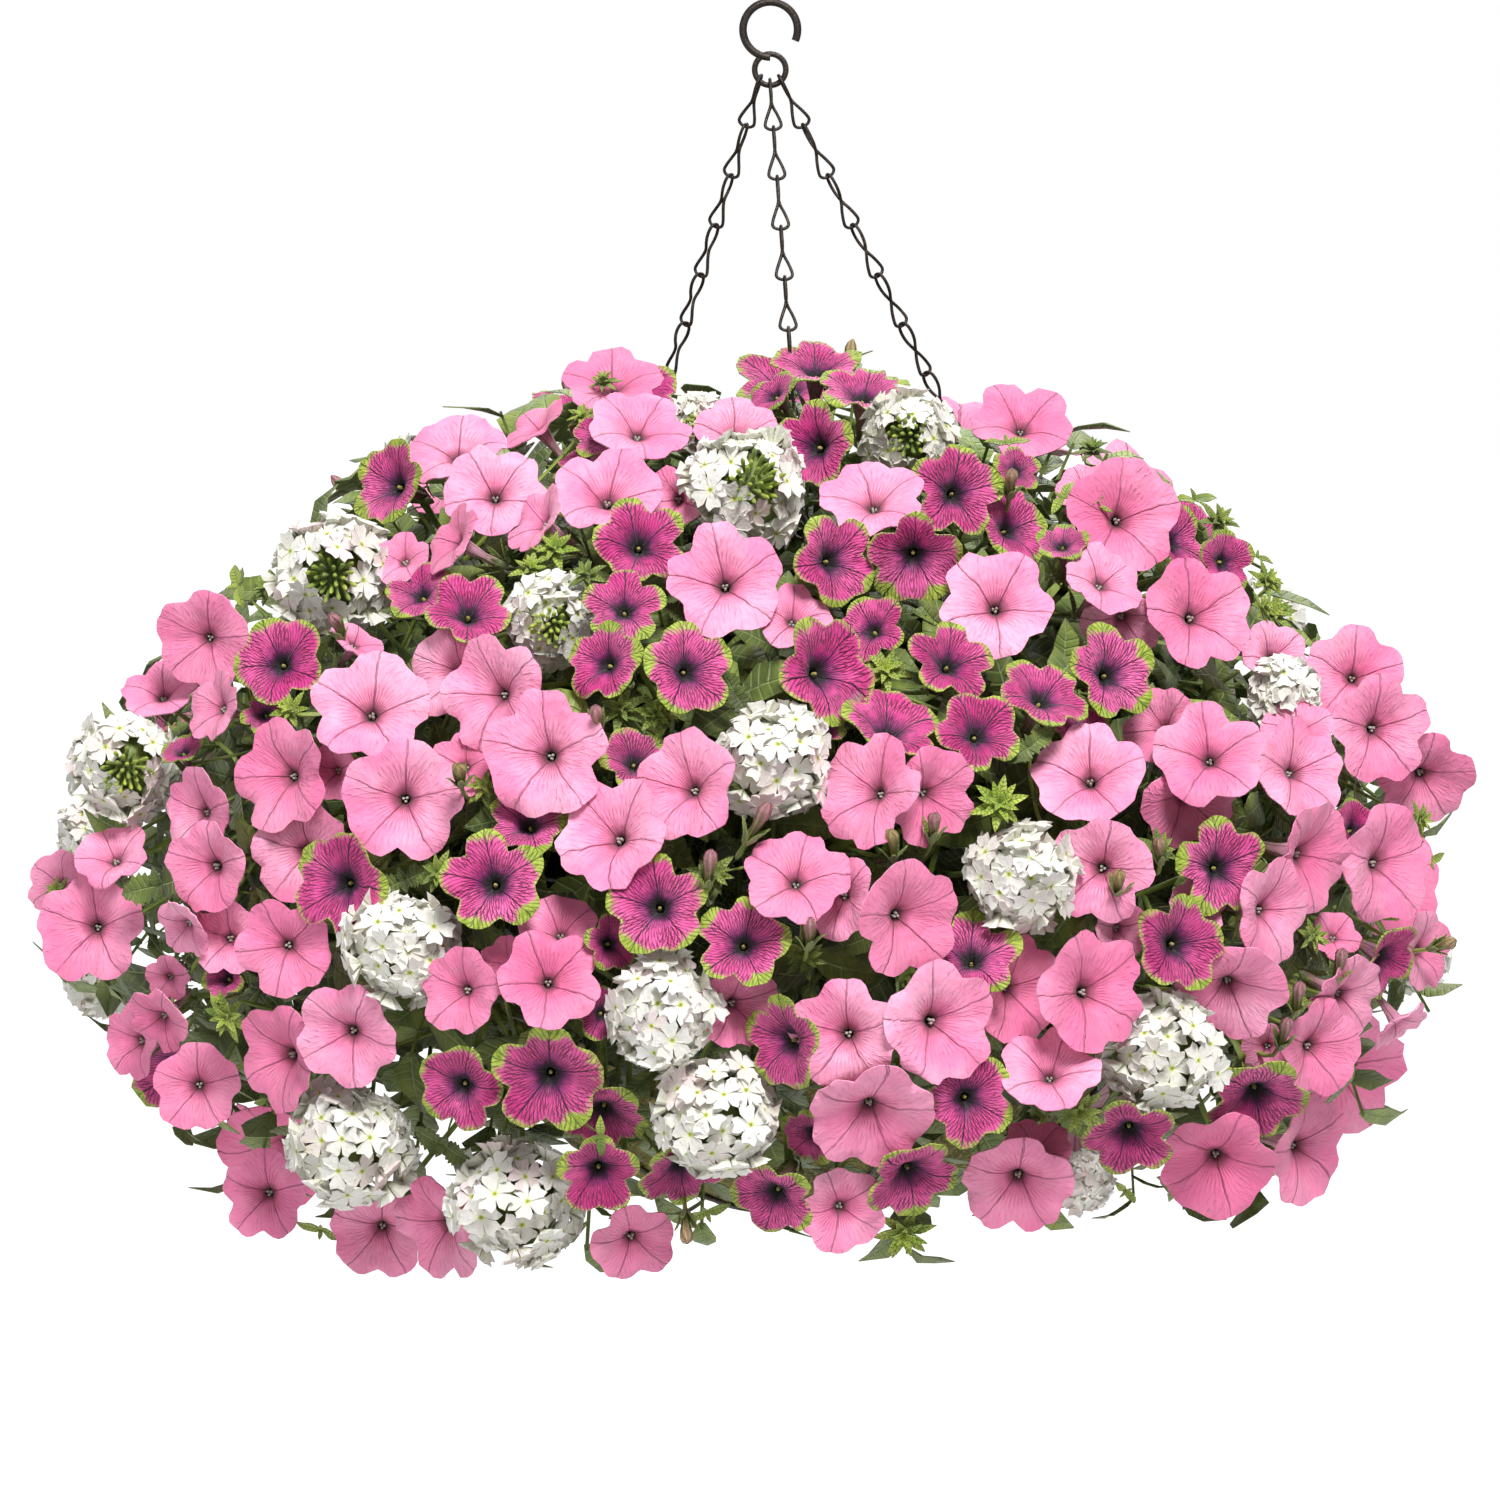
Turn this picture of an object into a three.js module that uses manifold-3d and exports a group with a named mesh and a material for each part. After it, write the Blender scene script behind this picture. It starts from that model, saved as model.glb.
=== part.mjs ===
// Petunia hanging basket: a wire basket lined with moss, hung by three chains from a hook, and
// planted with pink petunias, magenta petunias with a lime edge, and white verbena.
// Millimetres, +Z up. The origin is the inside top of the hook's bow, from which it all hangs.
// +X is right and +Y is away from someone who stands in front of it.
import * as THREE from "three";
import { ConvexGeometry } from "three/addons/geometries/ConvexGeometry.js";
import { mergeVertices } from "three/addons/utils/BufferGeometryUtils.js";
import Module from "manifold-3d";

const wasm = await Module();
wasm.setup();

// Clear space kept between pieces that touch.
const GAP = 0.35;

// The front is laid out as it shows from 2.6 m away, slightly above, on a picture 1500 pixels across.
// One pixel is 0.52 mm in the upright plane through the hook.
const VIEW_DISTANCE = 2600;
const PIXEL = 0.52;
const PICTURE_CENTRE = [750, 750];
const HOOK_PIXEL = [770, 13];
const VIEW_LIFT = THREE.MathUtils.degToRad(5.5);

// The mound of flowers: an upright axis, a domed top and a fuller lower half.
const MOUND = { x: -8, z: -461, radius: 372, rise: 289, drop: 200, fullness: 2.5 };

// The basket and what it holds.
const BASKET = { x: 18, rimZ: -430, wire: 2.5, ribWire: 1.5, stations: 24 };
const RIBS = { first: 3, every: 4 };
const BASKET_PROFILE = [
  [205, 0],
  [184, -84],
  [127, -153],
  [48, -188],
];
const LINER_THICKNESS = 11;
const SOIL_DEPTH_BELOW_RIM = 12;
const HOLE_DEPTH = 24;

// The hook's bow, its eye, and the chains that leave the eye for clips on the rim.
const HOOK = { wire: 2, bowRadius: 14, eyeWire: 1.5, eyeRadius: 8, eyeZ: -32.4 };
const CHAIN = { wire: 0.85, pitch: 28.5, halfWidth: 4, endHalfWidth: 2.2, hooked: 1.05, clipLength: 17 };
const CHAINS = [
  { name: "chain_left", rimAngle: 135.4, eyeAngle: -135 },
  { name: "chain_front", rimAngle: 272.8, eyeAngle: -90 },
  { name: "chain_right", rimAngle: 23.5, eyeAngle: -45 },
];

// How each kind grows. A blade's outline is a list of [turn in degrees, share of its radius], and
// roomy says how much further out the clear space round it is kept, for its narrow lobes.
const petals = (notch) =>
  Array.from({ length: 10 }, (_, i) => [i * 36, i % 2 ? notch : 1]);
const leaves = (count, notch) =>
  Array.from({ length: 2 * count }, (_, i) => [(i * 180) / count, i % 2 ? notch : 1]);
const roundish = Array.from({ length: 7 }, (_, i) => [(i * 360) / 7, i % 2 ? 0.93 : 1]);
const KINDS = {
  pink: { outline: petals(0.9), cup: 0.4, wall: 3.4, ruffle: 0.05, foot: 0.17, tube: 25, roomy: 1.2 },
  purple: { outline: petals(0.79), cup: 0.42, wall: 3.4, ruffle: 0.05, foot: 0.19, tube: 22, roomy: 1.3 },
  rosette: {
    outline: leaves(5, 0.32),
    cup: 0.34,
    wall: 2.2,
    ruffle: 0.08,
    foot: 0.1,
    tube: 0,
    roomy: 4,
  },
  pair: {
    outline: [
      [0, 1],
      [19, 0.62],
      [90, 0.16],
      [161, 0.62],
      [180, 1],
      [199, 0.62],
      [270, 0.16],
      [341, 0.62],
    ],
    cup: 0.3,
    wall: 2,
    ruffle: 0.04,
    foot: 0.08,
    tube: 0,
    roomy: 4,
  },
  verbena: { tube: 0, flatness: 0.8, relief: 0.09, foot: 0.1 },
};
const STALK = 1.3;
const STEM = 2;

// The knuckle where a spray's stalks leave its stem: its size, its depth behind the blooms, the size
// of the face that each stalk leaves by, how far apart those faces stand, and the neck of a stalk that
// would leave its face at more than a slant.
const HUB = 5;
const HUB_DEPTH = 46;
const SOCKET = 1.4;
const SOCKETS_APART = 37;
const NECK = { length: 2.6, slant: 42, belowBlade: 4, bladeSlant: 60 };

// How many sprays each kind grows in.
const SPRAYS = { pink: 18, purple: 11, verbena: 6, leafy: 7 };

// Pink petunias as they show: [across, down, width, height, throat across, throat down, layer].
const PINK = [
  [455, 447, 100, 64, 461, 457, 0],
  [495, 490, 100, 90, 494, 507, 0],
  [534, 422, 46, 70, 541, 450, 0],
  [612, 380, 98, 62, 612, 396, 1],
  [640, 424, 100, 68, 633, 450, 0],
  [736, 432, 84, 72, 735, 450, 1],
  [607, 490, 107, 82, 606, 515, 0],
  [674, 497, 60, 65, 680, 502, 1],
  [535, 518, 50, 76, 546, 535, 0],
  [450, 538, 78, 72, 478, 553, 0],
  [725, 580, 116, 113, 725, 594, 0],
  [795, 617, 76, 78, 787, 633, 1],
  [450, 672, 78, 95, 452, 673, 1],
  [491, 693, 95, 116, 511, 697, 0],
  [370, 706, 118, 106, 371, 724, 0],
  [402, 800, 120, 120, 406, 799, 0],
  [545, 754, 127, 127, 557, 760, 0],
  [202, 640, 93, 98, 217, 634, 0],
  [213, 706, 72, 72, 236, 714, 0],
  [160, 688, 80, 52, 165, 696, 1],
  [280, 776, 92, 112, 294, 777, 0],
  [332, 772, 58, 58, 346, 768, 1],
  [195, 813, 68, 90, 212, 812, 1],
  [205, 868, 76, 92, 216, 864, 0],
  [300, 852, 100, 106, 308, 850, 1],
  [90, 927, 108, 112, 97, 930, 0],
  [54, 882, 60, 68, 70, 890, 1],
  [112, 853, 75, 56, 118, 862, 1],
  [182, 929, 60, 64, 198, 914, 0],
  [225, 938, 72, 75, 230, 940, 1],
  [283, 948, 96, 98, 291, 943, 0],
  [167, 979, 48, 46, 175, 975, 1],
  [157, 1022, 68, 70, 172, 1008, 0],
  [130, 1042, 50, 76, 146, 1040, 1],
  [196, 1087, 87, 87, 200, 1085, 0],
  [276, 1058, 74, 107, 297, 1052, 0],
  [345, 1036, 105, 102, 361, 1034, 0],
  [263, 1195, 90, 90, 274, 1193, 0],
  [379, 1234, 98, 98, 384, 1219, 0],
  [436, 1230, 80, 110, 443, 1214, 0],
  [634, 1244, 82, 84, 629, 1229, 0],
  [684, 786, 98, 112, 692, 798, 0],
  [610, 832, 106, 116, 613, 851, 0],
  [560, 928, 80, 62, 560, 940, 1],
  [505, 966, 56, 60, 518, 968, 1],
  [550, 978, 102, 97, 544, 984, 0],
  [458, 991, 74, 88, 458, 991, 0],
  [740, 1006, 74, 86, 736, 1000, 0],
  [868, 790, 91, 116, 877, 801, 0],
  [932, 797, 88, 100, 922, 788, 0],
  [796, 876, 104, 88, 796, 878, 0],
  [836, 897, 74, 88, 840, 895, 0],
  [909, 920, 97, 118, 902, 910, 0],
  [845, 1036, 110, 112, 851, 1034, 0],
  [872, 1118, 124, 98, 867, 1102, 0],
  [843, 1211, 86, 88, 843, 1202, 0],
  [942, 1024, 110, 122, 932, 1020, 0],
  [1020, 990, 76, 110, 1006, 986, 1],
  [1095, 992, 105, 120, 1092, 995, 0],
  [1050, 1068, 100, 74, 1051, 1076, 0],
  [1018, 1187, 110, 94, 1021, 1171, 0],
  [873, 496, 104, 74, 876, 509, 0],
  [1022, 420, 99, 74, 1020, 428, 0],
  [1124, 515, 116, 114, 1111, 526, 0],
  [996, 602, 112, 105, 996, 607, 0],
  [1105, 578, 84, 68, 1092, 578, 0],
  [1125, 626, 90, 72, 1118, 616, 1],
  [1200, 613, 104, 112, 1190, 624, 0],
  [1276, 655, 68, 72, 1267, 664, 1],
  [1355, 673, 98, 96, 1353, 686, 0],
  [1382, 730, 100, 108, 1375, 727, 0],
  [1426, 782, 100, 86, 1417, 775, 0],
  [1088, 773, 110, 98, 1096, 785, 0],
  [1158, 724, 68, 78, 1165, 735, 1],
  [1210, 753, 110, 98, 1213, 754, 0],
  [1190, 803, 100, 90, 1178, 797, 1],
  [1301, 768, 92, 104, 1277, 782, 0],
  [1298, 728, 72, 62, 1300, 738, 1],
  [1315, 858, 70, 114, 1309, 849, 0],
  [1390, 865, 90, 120, 1377, 862, 0],
  [1100, 872, 103, 105, 1103, 865, 0],
  [1275, 912, 70, 106, 1268, 908, 0],
  [1230, 994, 114, 90, 1228, 981, 0],
  [1428, 952, 52, 80, 1412, 950, 1],
  [1336, 935, 52, 50, 1330, 945, 1],
  [1350, 1000, 68, 92, 1340, 985, 0],
  [1402, 1028, 52, 64, 1400, 1006, 0],
  [1320, 1050, 84, 102, 1312, 1042, 0],
  [1268, 1050, 54, 50, 1268, 1046, 1],
  [1218, 1166, 116, 102, 1217, 1148, 0],
  [1310, 1150, 74, 112, 1290, 1142, 0],
  [1200, 905, 60, 60, 1205, 910, 1],
  [1122, 930, 52, 60, 1115, 926, 1],
  [1086, 490, 60, 52, 1090, 500, 1],
  [462, 764, 70, 70, 470, 775, 1],
  [1036, 1146, 70, 52, 1040, 1150, 1],
  [358, 640, 46, 56, 350, 658, 1],
  [401, 558, 58, 52, 410, 560, 1],
];

// Magenta petunias with a lime edge, in the same terms.
const PURPLE = [
  [387, 482, 66, 88, 402, 492, 0],
  [604, 432, 66, 52, 612, 448, 0],
  [580, 455, 70, 46, 600, 466, 1],
  [641, 540, 95, 86, 635, 556, 0],
  [419, 590, 72, 54, 428, 610, 1],
  [469, 607, 88, 74, 465, 630, 0],
  [624, 605, 84, 79, 624, 624, 0],
  [603, 661, 82, 78, 617, 669, 0],
  [690, 668, 95, 92, 675, 669, 0],
  [817, 362, 90, 42, 815, 376, 0],
  [863, 387, 90, 44, 862, 402, 0],
  [771, 391, 58, 44, 785, 406, 1],
  [811, 445, 78, 90, 813, 449, 0],
  [957, 490, 93, 94, 947, 497, 0],
  [1014, 525, 74, 86, 993, 540, 1],
  [1062, 541, 54, 52, 1064, 558, 0],
  [837, 559, 78, 94, 828, 564, 0],
  [914, 560, 95, 86, 913, 552, 0],
  [871, 627, 72, 66, 880, 640, 1],
  [829, 669, 86, 112, 825, 679, 0],
  [952, 659, 90, 77, 941, 677, 0],
  [1045, 692, 94, 66, 1032, 710, 0],
  [1114, 671, 88, 98, 1102, 682, 0],
  [892, 721, 102, 64, 882, 727, 0],
  [979, 731, 87, 78, 970, 738, 0],
  [1181, 538, 52, 84, 1169, 548, 1],
  [1227, 561, 62, 64, 1213, 563, 0],
  [279, 660, 92, 90, 285, 672, 0],
  [263, 711, 50, 42, 270, 720, 1],
  [181, 748, 44, 46, 182, 764, 1],
  [338, 885, 90, 106, 354, 882, 0],
  [636, 758, 74, 62, 630, 766, 1],
  [527, 820, 82, 68, 534, 826, 1],
  [493, 880, 104, 100, 496, 887, 0],
  [657, 905, 102, 100, 662, 909, 0],
  [743, 941, 94, 88, 744, 941, 0],
  [612, 943, 52, 58, 606, 946, 1],
  [603, 1013, 54, 56, 600, 1016, 1],
  [780, 1043, 66, 97, 787, 1038, 0],
  [547, 1080, 114, 110, 553, 1066, 0],
  [459, 1089, 84, 88, 459, 1079, 0],
  [602, 1118, 92, 68, 605, 1112, 1],
  [598, 1175, 84, 76, 598, 1165, 0],
  [684, 1174, 92, 66, 673, 1158, 0],
  [772, 1199, 84, 88, 786, 1179, 0],
  [808, 1138, 52, 64, 816, 1124, 1],
  [914, 1181, 98, 74, 900, 1170, 0],
  [970, 1100, 92, 95, 961, 1096, 0],
  [972, 953, 100, 78, 972, 958, 0],
  [1222, 867, 95, 100, 1221, 871, 0],
  [1182, 943, 87, 97, 1165, 947, 0],
  [1390, 962, 56, 80, 1375, 946, 0],
  [1358, 828, 48, 62, 1345, 836, 1],
  [1259, 1102, 104, 76, 1252, 1085, 0],
  [1130, 1139, 96, 74, 1130, 1129, 0],
  [223, 976, 54, 50, 236, 984, 1],
  [1081, 726, 62, 46, 1076, 735, 1],
  [814, 729, 78, 58, 828, 744, 1],
  [1018, 468, 52, 46, 1010, 479, 1],
];

// Heads of white verbena: [across, down, width, height, bud centre across, bud centre down, layer].
const VERBENA = [
  [747, 488, 132, 126, 736, 496, 0],
  [909, 436, 118, 84, 912, 434, 0],
  [696, 424, 62, 62, 696, 420, 1],
  [334, 575, 126, 128, 332, 571, 0],
  [552, 622, 90, 110, 552, 616, 1],
  [126, 766, 98, 138, 120, 760, 0],
  [770, 763, 118, 128, 770, 758, 0],
  [1283, 695, 92, 64, 1280, 690, 1],
  [1021, 876, 106, 122, 1021, 870, 0],
  [403, 949, 134, 112, 403, 944, 0],
  [663, 1010, 116, 124, 667, 1010, 0],
  [716, 1113, 142, 116, 715, 1111, 0],
  [1162, 1052, 128, 124, 1163, 1050, 0],
  [350, 1142, 138, 134, 350, 1137, 0],
  [516, 1202, 138, 140, 515, 1206, 0],
  [1082, 1180, 70, 58, 1080, 1180, 1],
];

// Shoot tips and pairs of leaves: [across, down, size, kind, leaning across, leaning down, layer].
const FOLIAGE = [
  [603, 378, 36, "rosette", 0, 12, 0],
  [582, 414, 44, "rosette", 10, 10, 0],
  [553, 545, 52, "rosette", 0, 10, 0],
  [532, 566, 44, "rosette", -8, 10, 0],
  [585, 572, 42, "rosette", 6, 8, 0],
  [620, 706, 54, "rosette", 0, 6, 1],
  [656, 712, 46, "rosette", -6, 6, 1],
  [483, 785, 46, "rosette", 0, 8, 1],
  [886, 668, 54, "rosette", 0, 8, 1],
  [1008, 436, 48, "pair", 0, 14, 0],
  [1062, 492, 48, "pair", 8, 8, 0],
  [1092, 446, 42, "rosette", 6, 12, 0],
  [1095, 502, 40, "rosette", 4, 8, 0],
  [1199, 492, 58, "pair", -6, 16, 0],
  [1222, 518, 50, "rosette", -8, 8, 0],
  [1262, 552, 38, "pair", -10, 8, 0],
  [1270, 578, 46, "rosette", -12, 4, 0],
  [1266, 606, 34, "rosette", -12, 0, 0],
  [1160, 848, 46, "rosette", 0, 6, 1],
  [1316, 936, 40, "rosette", -6, 2, 0],
  [1300, 996, 44, "pair", -4, 0, 1],
  [1424, 820, 42, "rosette", -12, -2, 0],
  [1436, 862, 44, "pair", -10, -4, 0],
  [232, 580, 62, "pair", 12, 10, 0],
  [264, 586, 46, "rosette", 8, 8, 0],
  [288, 708, 44, "rosette", 4, 8, 0],
  [54, 892, 40, "rosette", 8, 6, 0],
  [150, 885, 90, "pair", 10, 2, 1],
  [400, 880, 66, "pair", 4, 2, 1],
  [436, 872, 48, "rosette", 0, 4, 1],
  [224, 1018, 54, "rosette", 8, 0, 0],
  [712, 872, 50, "rosette", 0, 4, 1],
  [806, 958, 44, "rosette", 0, 2, 1],
  [896, 858, 46, "pair", 0, 4, 1],
  [1000, 802, 62, "rosette", 0, 4, 0],
  [1034, 742, 62, "pair", -4, 8, 0],
  [735, 690, 60, "pair", 0, 6, 1],
  [690, 612, 60, "pair", 0, 8, 1],
  [1080, 1112, 58, "rosette", 0, -4, 0],
  [904, 1236, 62, "rosette", 2, -8, 0],
  [706, 1218, 52, "pair", 2, -8, 1],
  [318, 1236, 54, "pair", 4, -8, 0],
  [1128, 1196, 40, "pair", -4, -8, 1],
  [1000, 1206, 52, "pair", 0, -8, 1],
  [440, 1150, 66, "pair", 2, -4, 1],
  [600, 1140, 46, "pair", 0, -4, 0],
  [262, 1104, 36, "pair", 8, -6, 1],
];
const LAYER_STEP = 16;

// The sides, top and back of the mound, which don't show from the front: an even scatter of places
// round the mound, each taken where it has room, and the sizes that its growths have there. Those next
// to the front turn towards it, and sink in until they stay within the front's outline. No shoot's tip
// hangs at the very bottom.
const FAR = {
  places: 420,
  lowest: -0.5,
  facesFront: 0.12,
  spacing: 1.5,
  firstNumber: 700,
  turnsForward: 0.9,
  turnsUpTo: 0.45,
  edgeShare: 0.8,
  edgeWindow: 0.11,
  leastKept: 0.72,
  leavesAbove: -540,
};
const FAR_KINDS = [
  { kind: "verbena", upTo: 0.09, smallest: 22, largest: 26 },
  { kind: "purple", upTo: 0.38, smallest: 25, largest: 31 },
  { kind: "pink", upTo: 0.9, smallest: 28, largest: 35 },
  { kind: "rosette", upTo: 0.96, smallest: 15, largest: 19 },
  { kind: "pair", upTo: 1, smallest: 17, largest: 21 },
];
const GOLDEN_ANGLE = Math.PI * (3 - Math.sqrt(5));

const v = (x, y, z) => new THREE.Vector3(x, y, z);
const turn = (degrees) => THREE.MathUtils.degToRad(degrees);

// A fixed draw between 0 and 1 for each whole number.
function chance(n) {
  let h = Math.imul(n ^ 0x9e3779b9, 0x85ebca6b);
  h = Math.imul(h ^ (h >>> 13), 0xc2b2ae35);
  return ((h ^ (h >>> 16)) >>> 0) / 4294967296;
}

// Where something that shows at a pixel lies in space.
const viewRight = v(1, 0, 0);
const viewForward = v(0, Math.cos(VIEW_LIFT), -Math.sin(VIEW_LIFT));
const viewUp = v(0, Math.sin(VIEW_LIFT), Math.cos(VIEW_LIFT));
const viewTarget = v(
  (PICTURE_CENTRE[0] - HOOK_PIXEL[0]) * PIXEL,
  0,
  (HOOK_PIXEL[1] - PICTURE_CENTRE[1]) * PIXEL,
);
const viewPoint = viewTarget.clone().addScaledVector(viewForward, -VIEW_DISTANCE);

function sightLine(across, down) {
  return v(0, 0, 0)
    .addScaledVector(viewRight, ((across - PICTURE_CENTRE[0]) * PIXEL) / VIEW_DISTANCE)
    .addScaledVector(viewUp, ((PICTURE_CENTRE[1] - down) * PIXEL) / VIEW_DISTANCE)
    .add(viewForward);
}

// 1 on the mound's surface, less inside it, and the way the surface faces.
function moundLevel(p) {
  const out = Math.hypot(p.x - MOUND.x, p.y) / MOUND.radius;
  const up = p.z - MOUND.z;
  if (up > 0) return Math.hypot(out, up / MOUND.rise);
  return (out ** MOUND.fullness + (-up / MOUND.drop) ** MOUND.fullness) ** (1 / MOUND.fullness);
}
function moundFacing(p) {
  const height = p.z > MOUND.z ? MOUND.rise : MOUND.drop;
  return v(
    (p.x - MOUND.x) / MOUND.radius ** 2,
    p.y / MOUND.radius ** 2,
    (p.z - MOUND.z) / height ** 2,
  ).normalize();
}

// How far along a sight line the mound begins, or passes nearest where it is missed.
function moundReach(line) {
  let best = VIEW_DISTANCE;
  let bestLevel = Infinity;
  for (let reach = VIEW_DISTANCE - 500; reach < VIEW_DISTANCE + 400; reach += 4) {
    const level = moundLevel(viewPoint.clone().addScaledVector(line, reach));
    if (level < 1) return reach - 2;
    if (level < bestLevel) [best, bestLevel] = [reach, level];
  }
  return best;
}

// One growth from a row of a list above: its place, size and the way it faces.
function growthFromRow(kind, row, number) {
  const head = kind === "verbena";
  const [across, down, width, height, throatAcross, throatDown, layer] = row;
  const line = sightLine(across, down);
  const reach = moundReach(line) + layer * LAYER_STEP + (head ? 14 : 0);
  const seen = head ? (width + height) / 4 : Math.max(width, height) / 2;
  const tilt = 0.95 * Math.sqrt(1 - (Math.min(width, height) / Math.max(width, height)) ** 2);
  let side = -(throatAcross - across) / (0.9 * seen);
  let lift = (throatDown - down) / (0.9 * seen);
  if (!head && width < height) side = Math.sign(side || across - 750) * Math.max(Math.abs(side), tilt);
  if (!head && width > height) lift = Math.sign(lift || 1) * Math.max(Math.abs(lift), tilt);
  const lean = Math.min(1, 0.93 / Math.hypot(side, lift, 1e-9));
  side *= lean;
  lift *= lean;
  const facing = v(0, 0, 0)
    .addScaledVector(viewRight, side)
    .addScaledVector(viewUp, lift)
    .addScaledVector(viewForward, -Math.sqrt(1 - side ** 2 - lift ** 2));
  return {
    kind,
    number,
    layer,
    centre: viewPoint.clone().addScaledVector(line, reach),
    facing: facing.normalize(),
    radius: (seen * PIXEL * reach) / VIEW_DISTANCE,
    inward: line.clone().normalize(),
  };
}

function growthFromLeafRow(row, number) {
  const [across, down, size, kind, leanAcross, leanDown, layer] = row;
  const made = growthFromRow(
    kind,
    [across, down, size, size, across + leanAcross, down + leanDown, layer],
    number,
  );
  made.facing.lerp(moundFacing(made.centre), 0.4).normalize();
  return made;
}

// The growths of the sides, top and back.
// Where a point shows in the picture: its distance and bearing from the mound's middle.
function shown(p) {
  const away = p.clone().sub(viewPoint);
  const scale = VIEW_DISTANCE / away.dot(viewForward);
  const middle = v(MOUND.x, 0, MOUND.z).sub(viewPoint);
  const across = away.dot(viewRight) * scale - middle.dot(viewRight);
  const up = away.dot(viewUp) * scale - middle.dot(viewUp);
  return { out: Math.hypot(across, up), bearing: Math.atan2(up, across) };
}

// How much of its distance from the mound's middle a far growth keeps, so that it shows no further
// out than the near growths beside it.
function keptDistance(centre, radius, near) {
  const { out, bearing } = shown(centre);
  let edge = 0;
  for (const o of near) {
    const other = shown(o.centre);
    const turn = Math.abs(((other.bearing - bearing + 3 * Math.PI) % (2 * Math.PI)) - Math.PI);
    if (turn < FAR.edgeWindow) edge = Math.max(edge, other.out + FAR.edgeShare * o.radius);
  }
  return Math.max(FAR.leastKept, Math.min(1, (edge - radius) / out));
}

function farSide(near) {
  const kept = [];
  const middle = v(MOUND.x, 0, MOUND.z);
  for (let i = 0; i < FAR.places; i++) {
    const number = FAR.firstNumber + i;
    const rise = 1 - (1 - FAR.lowest) * ((i + 0.5) / FAR.places);
    const out = Math.sqrt(1 - rise ** 2);
    const bearing = GOLDEN_ANGLE * i;
    const direction = v(out * Math.cos(bearing), out * Math.sin(bearing), rise);
    const centre = middle.clone().addScaledVector(direction, 1 / moundLevel(middle.clone().add(direction)));
    const outward = moundFacing(centre);
    const away = outward.dot(viewForward);
    if (away < -FAR.facesFront) continue;
    const drawn = chance(number);
    const { kind, smallest, largest } = FAR_KINDS.find((k) => drawn <= k.upTo);
    const radius = smallest + (largest - smallest) * chance(number * 2);
    centre.lerp(middle, 1 - keptDistance(centre, radius, near));
    if ((kind === "rosette" || kind === "pair") && centre.z < FAR.leavesAbove) continue;
    const room = (o) => FAR.spacing * (o.radius + radius);
    if ([...near, ...kept].some((o) => o.centre.distanceTo(centre) < room(o))) continue;
    const lean = v(chance(number * 3) - 0.5, chance(number * 5) - 0.5, chance(number * 7) - 0.5);
    const forward = FAR.turnsForward * Math.max(0, 1 - away / FAR.turnsUpTo);
    const facing = outward.clone().addScaledVector(lean, 0.6).addScaledVector(viewForward, -forward).normalize();
    kept.push({ kind, number, layer: 0, centre, facing, radius, inward: outward.clone().negate() });
  }
  return kept;
}

// Whether two blades, taken as flat discs, cut through each other.
function discsCross(a, b) {
  const apart = b.centre.clone().sub(a.centre);
  if (apart.length() > a.radius + b.radius) return false;
  const line = a.facing.clone().cross(b.facing);
  const slope = line.length();
  if (slope < 0.06) return Math.abs(apart.dot(a.facing)) < 3;
  line.divideScalar(slope);
  const towards = line.clone().cross(a.facing);
  const reach = apart.dot(b.facing) / towards.dot(b.facing);
  const foot = a.centre.clone().addScaledVector(towards, reach);
  const halfA = Math.sqrt(Math.max(0, (0.92 * a.radius) ** 2 - reach ** 2));
  const fromB = b.centre.clone().sub(foot);
  const along = fromB.dot(line);
  const offLine = fromB.addScaledVector(line, -along).length();
  const halfB = Math.sqrt(Math.max(0, (0.92 * b.radius) ** 2 - offLine ** 2));
  if (!halfA || !halfB) return false;
  return Math.min(halfA, along + halfB) - Math.max(-halfA, along - halfB) > 5;
}

// Blades that would cut through each other settle into layers, the hindmost sinking in.
const SETTLE_ROUNDS = 7;
const SETTLE_STEP = 4.5;
function settle(blades) {
  for (let round = 0; round < SETTLE_ROUNDS; round++) {
    for (let i = 0; i < blades.length; i++) {
      for (let j = i + 1; j < blades.length; j++) {
        const [a, b] = [blades[i], blades[j]];
        if (!discsCross(a, b)) continue;
        const lower = a.layer > b.layer || (a.layer === b.layer && a.radius < b.radius) ? a : b;
        lower.centre.addScaledVector(lower.inward, SETTLE_STEP);
      }
    }
  }
}

// Solids.

// A closed skin made of rings of points, from an outer tip down to an inner tip.
class Skin {
  points = [];
  faces = [];
  point(p) {
    return this.points.push(p) - 1;
  }
  ring(points) {
    return points.map((p) => this.point(p));
  }
  cap(tip, ring) {
    ring.forEach((p, i) => this.faces.push([tip, p, ring[(i + 1) % ring.length]]));
  }
  // Joins two rings that may have different numbers of points.
  wall(a, b) {
    let i = 0;
    let j = 0;
    while (i < a.length || j < b.length) {
      const here = a[i % a.length];
      const below = b[j % b.length];
      if (j >= b.length || (i < a.length && (i + 1) * b.length <= (j + 1) * a.length)) {
        this.faces.push([here, below, a[(i + 1) % a.length]]);
        i++;
      } else {
        this.faces.push([here, below, b[(j + 1) % b.length]]);
        j++;
      }
    }
  }
  solid() {
    const made = new wasm.Manifold(
      new wasm.Mesh({
        numProp: 3,
        vertProperties: new Float32Array(this.points.flatMap((p) => [p.x, p.y, p.z])),
        triVerts: new Uint32Array(this.faces.flat()),
      }),
    );
    if (made.volume() > 0) return made;
    this.faces = this.faces.map(([a, b, c]) => [a, c, b]);
    return this.solid();
  }
}

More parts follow.
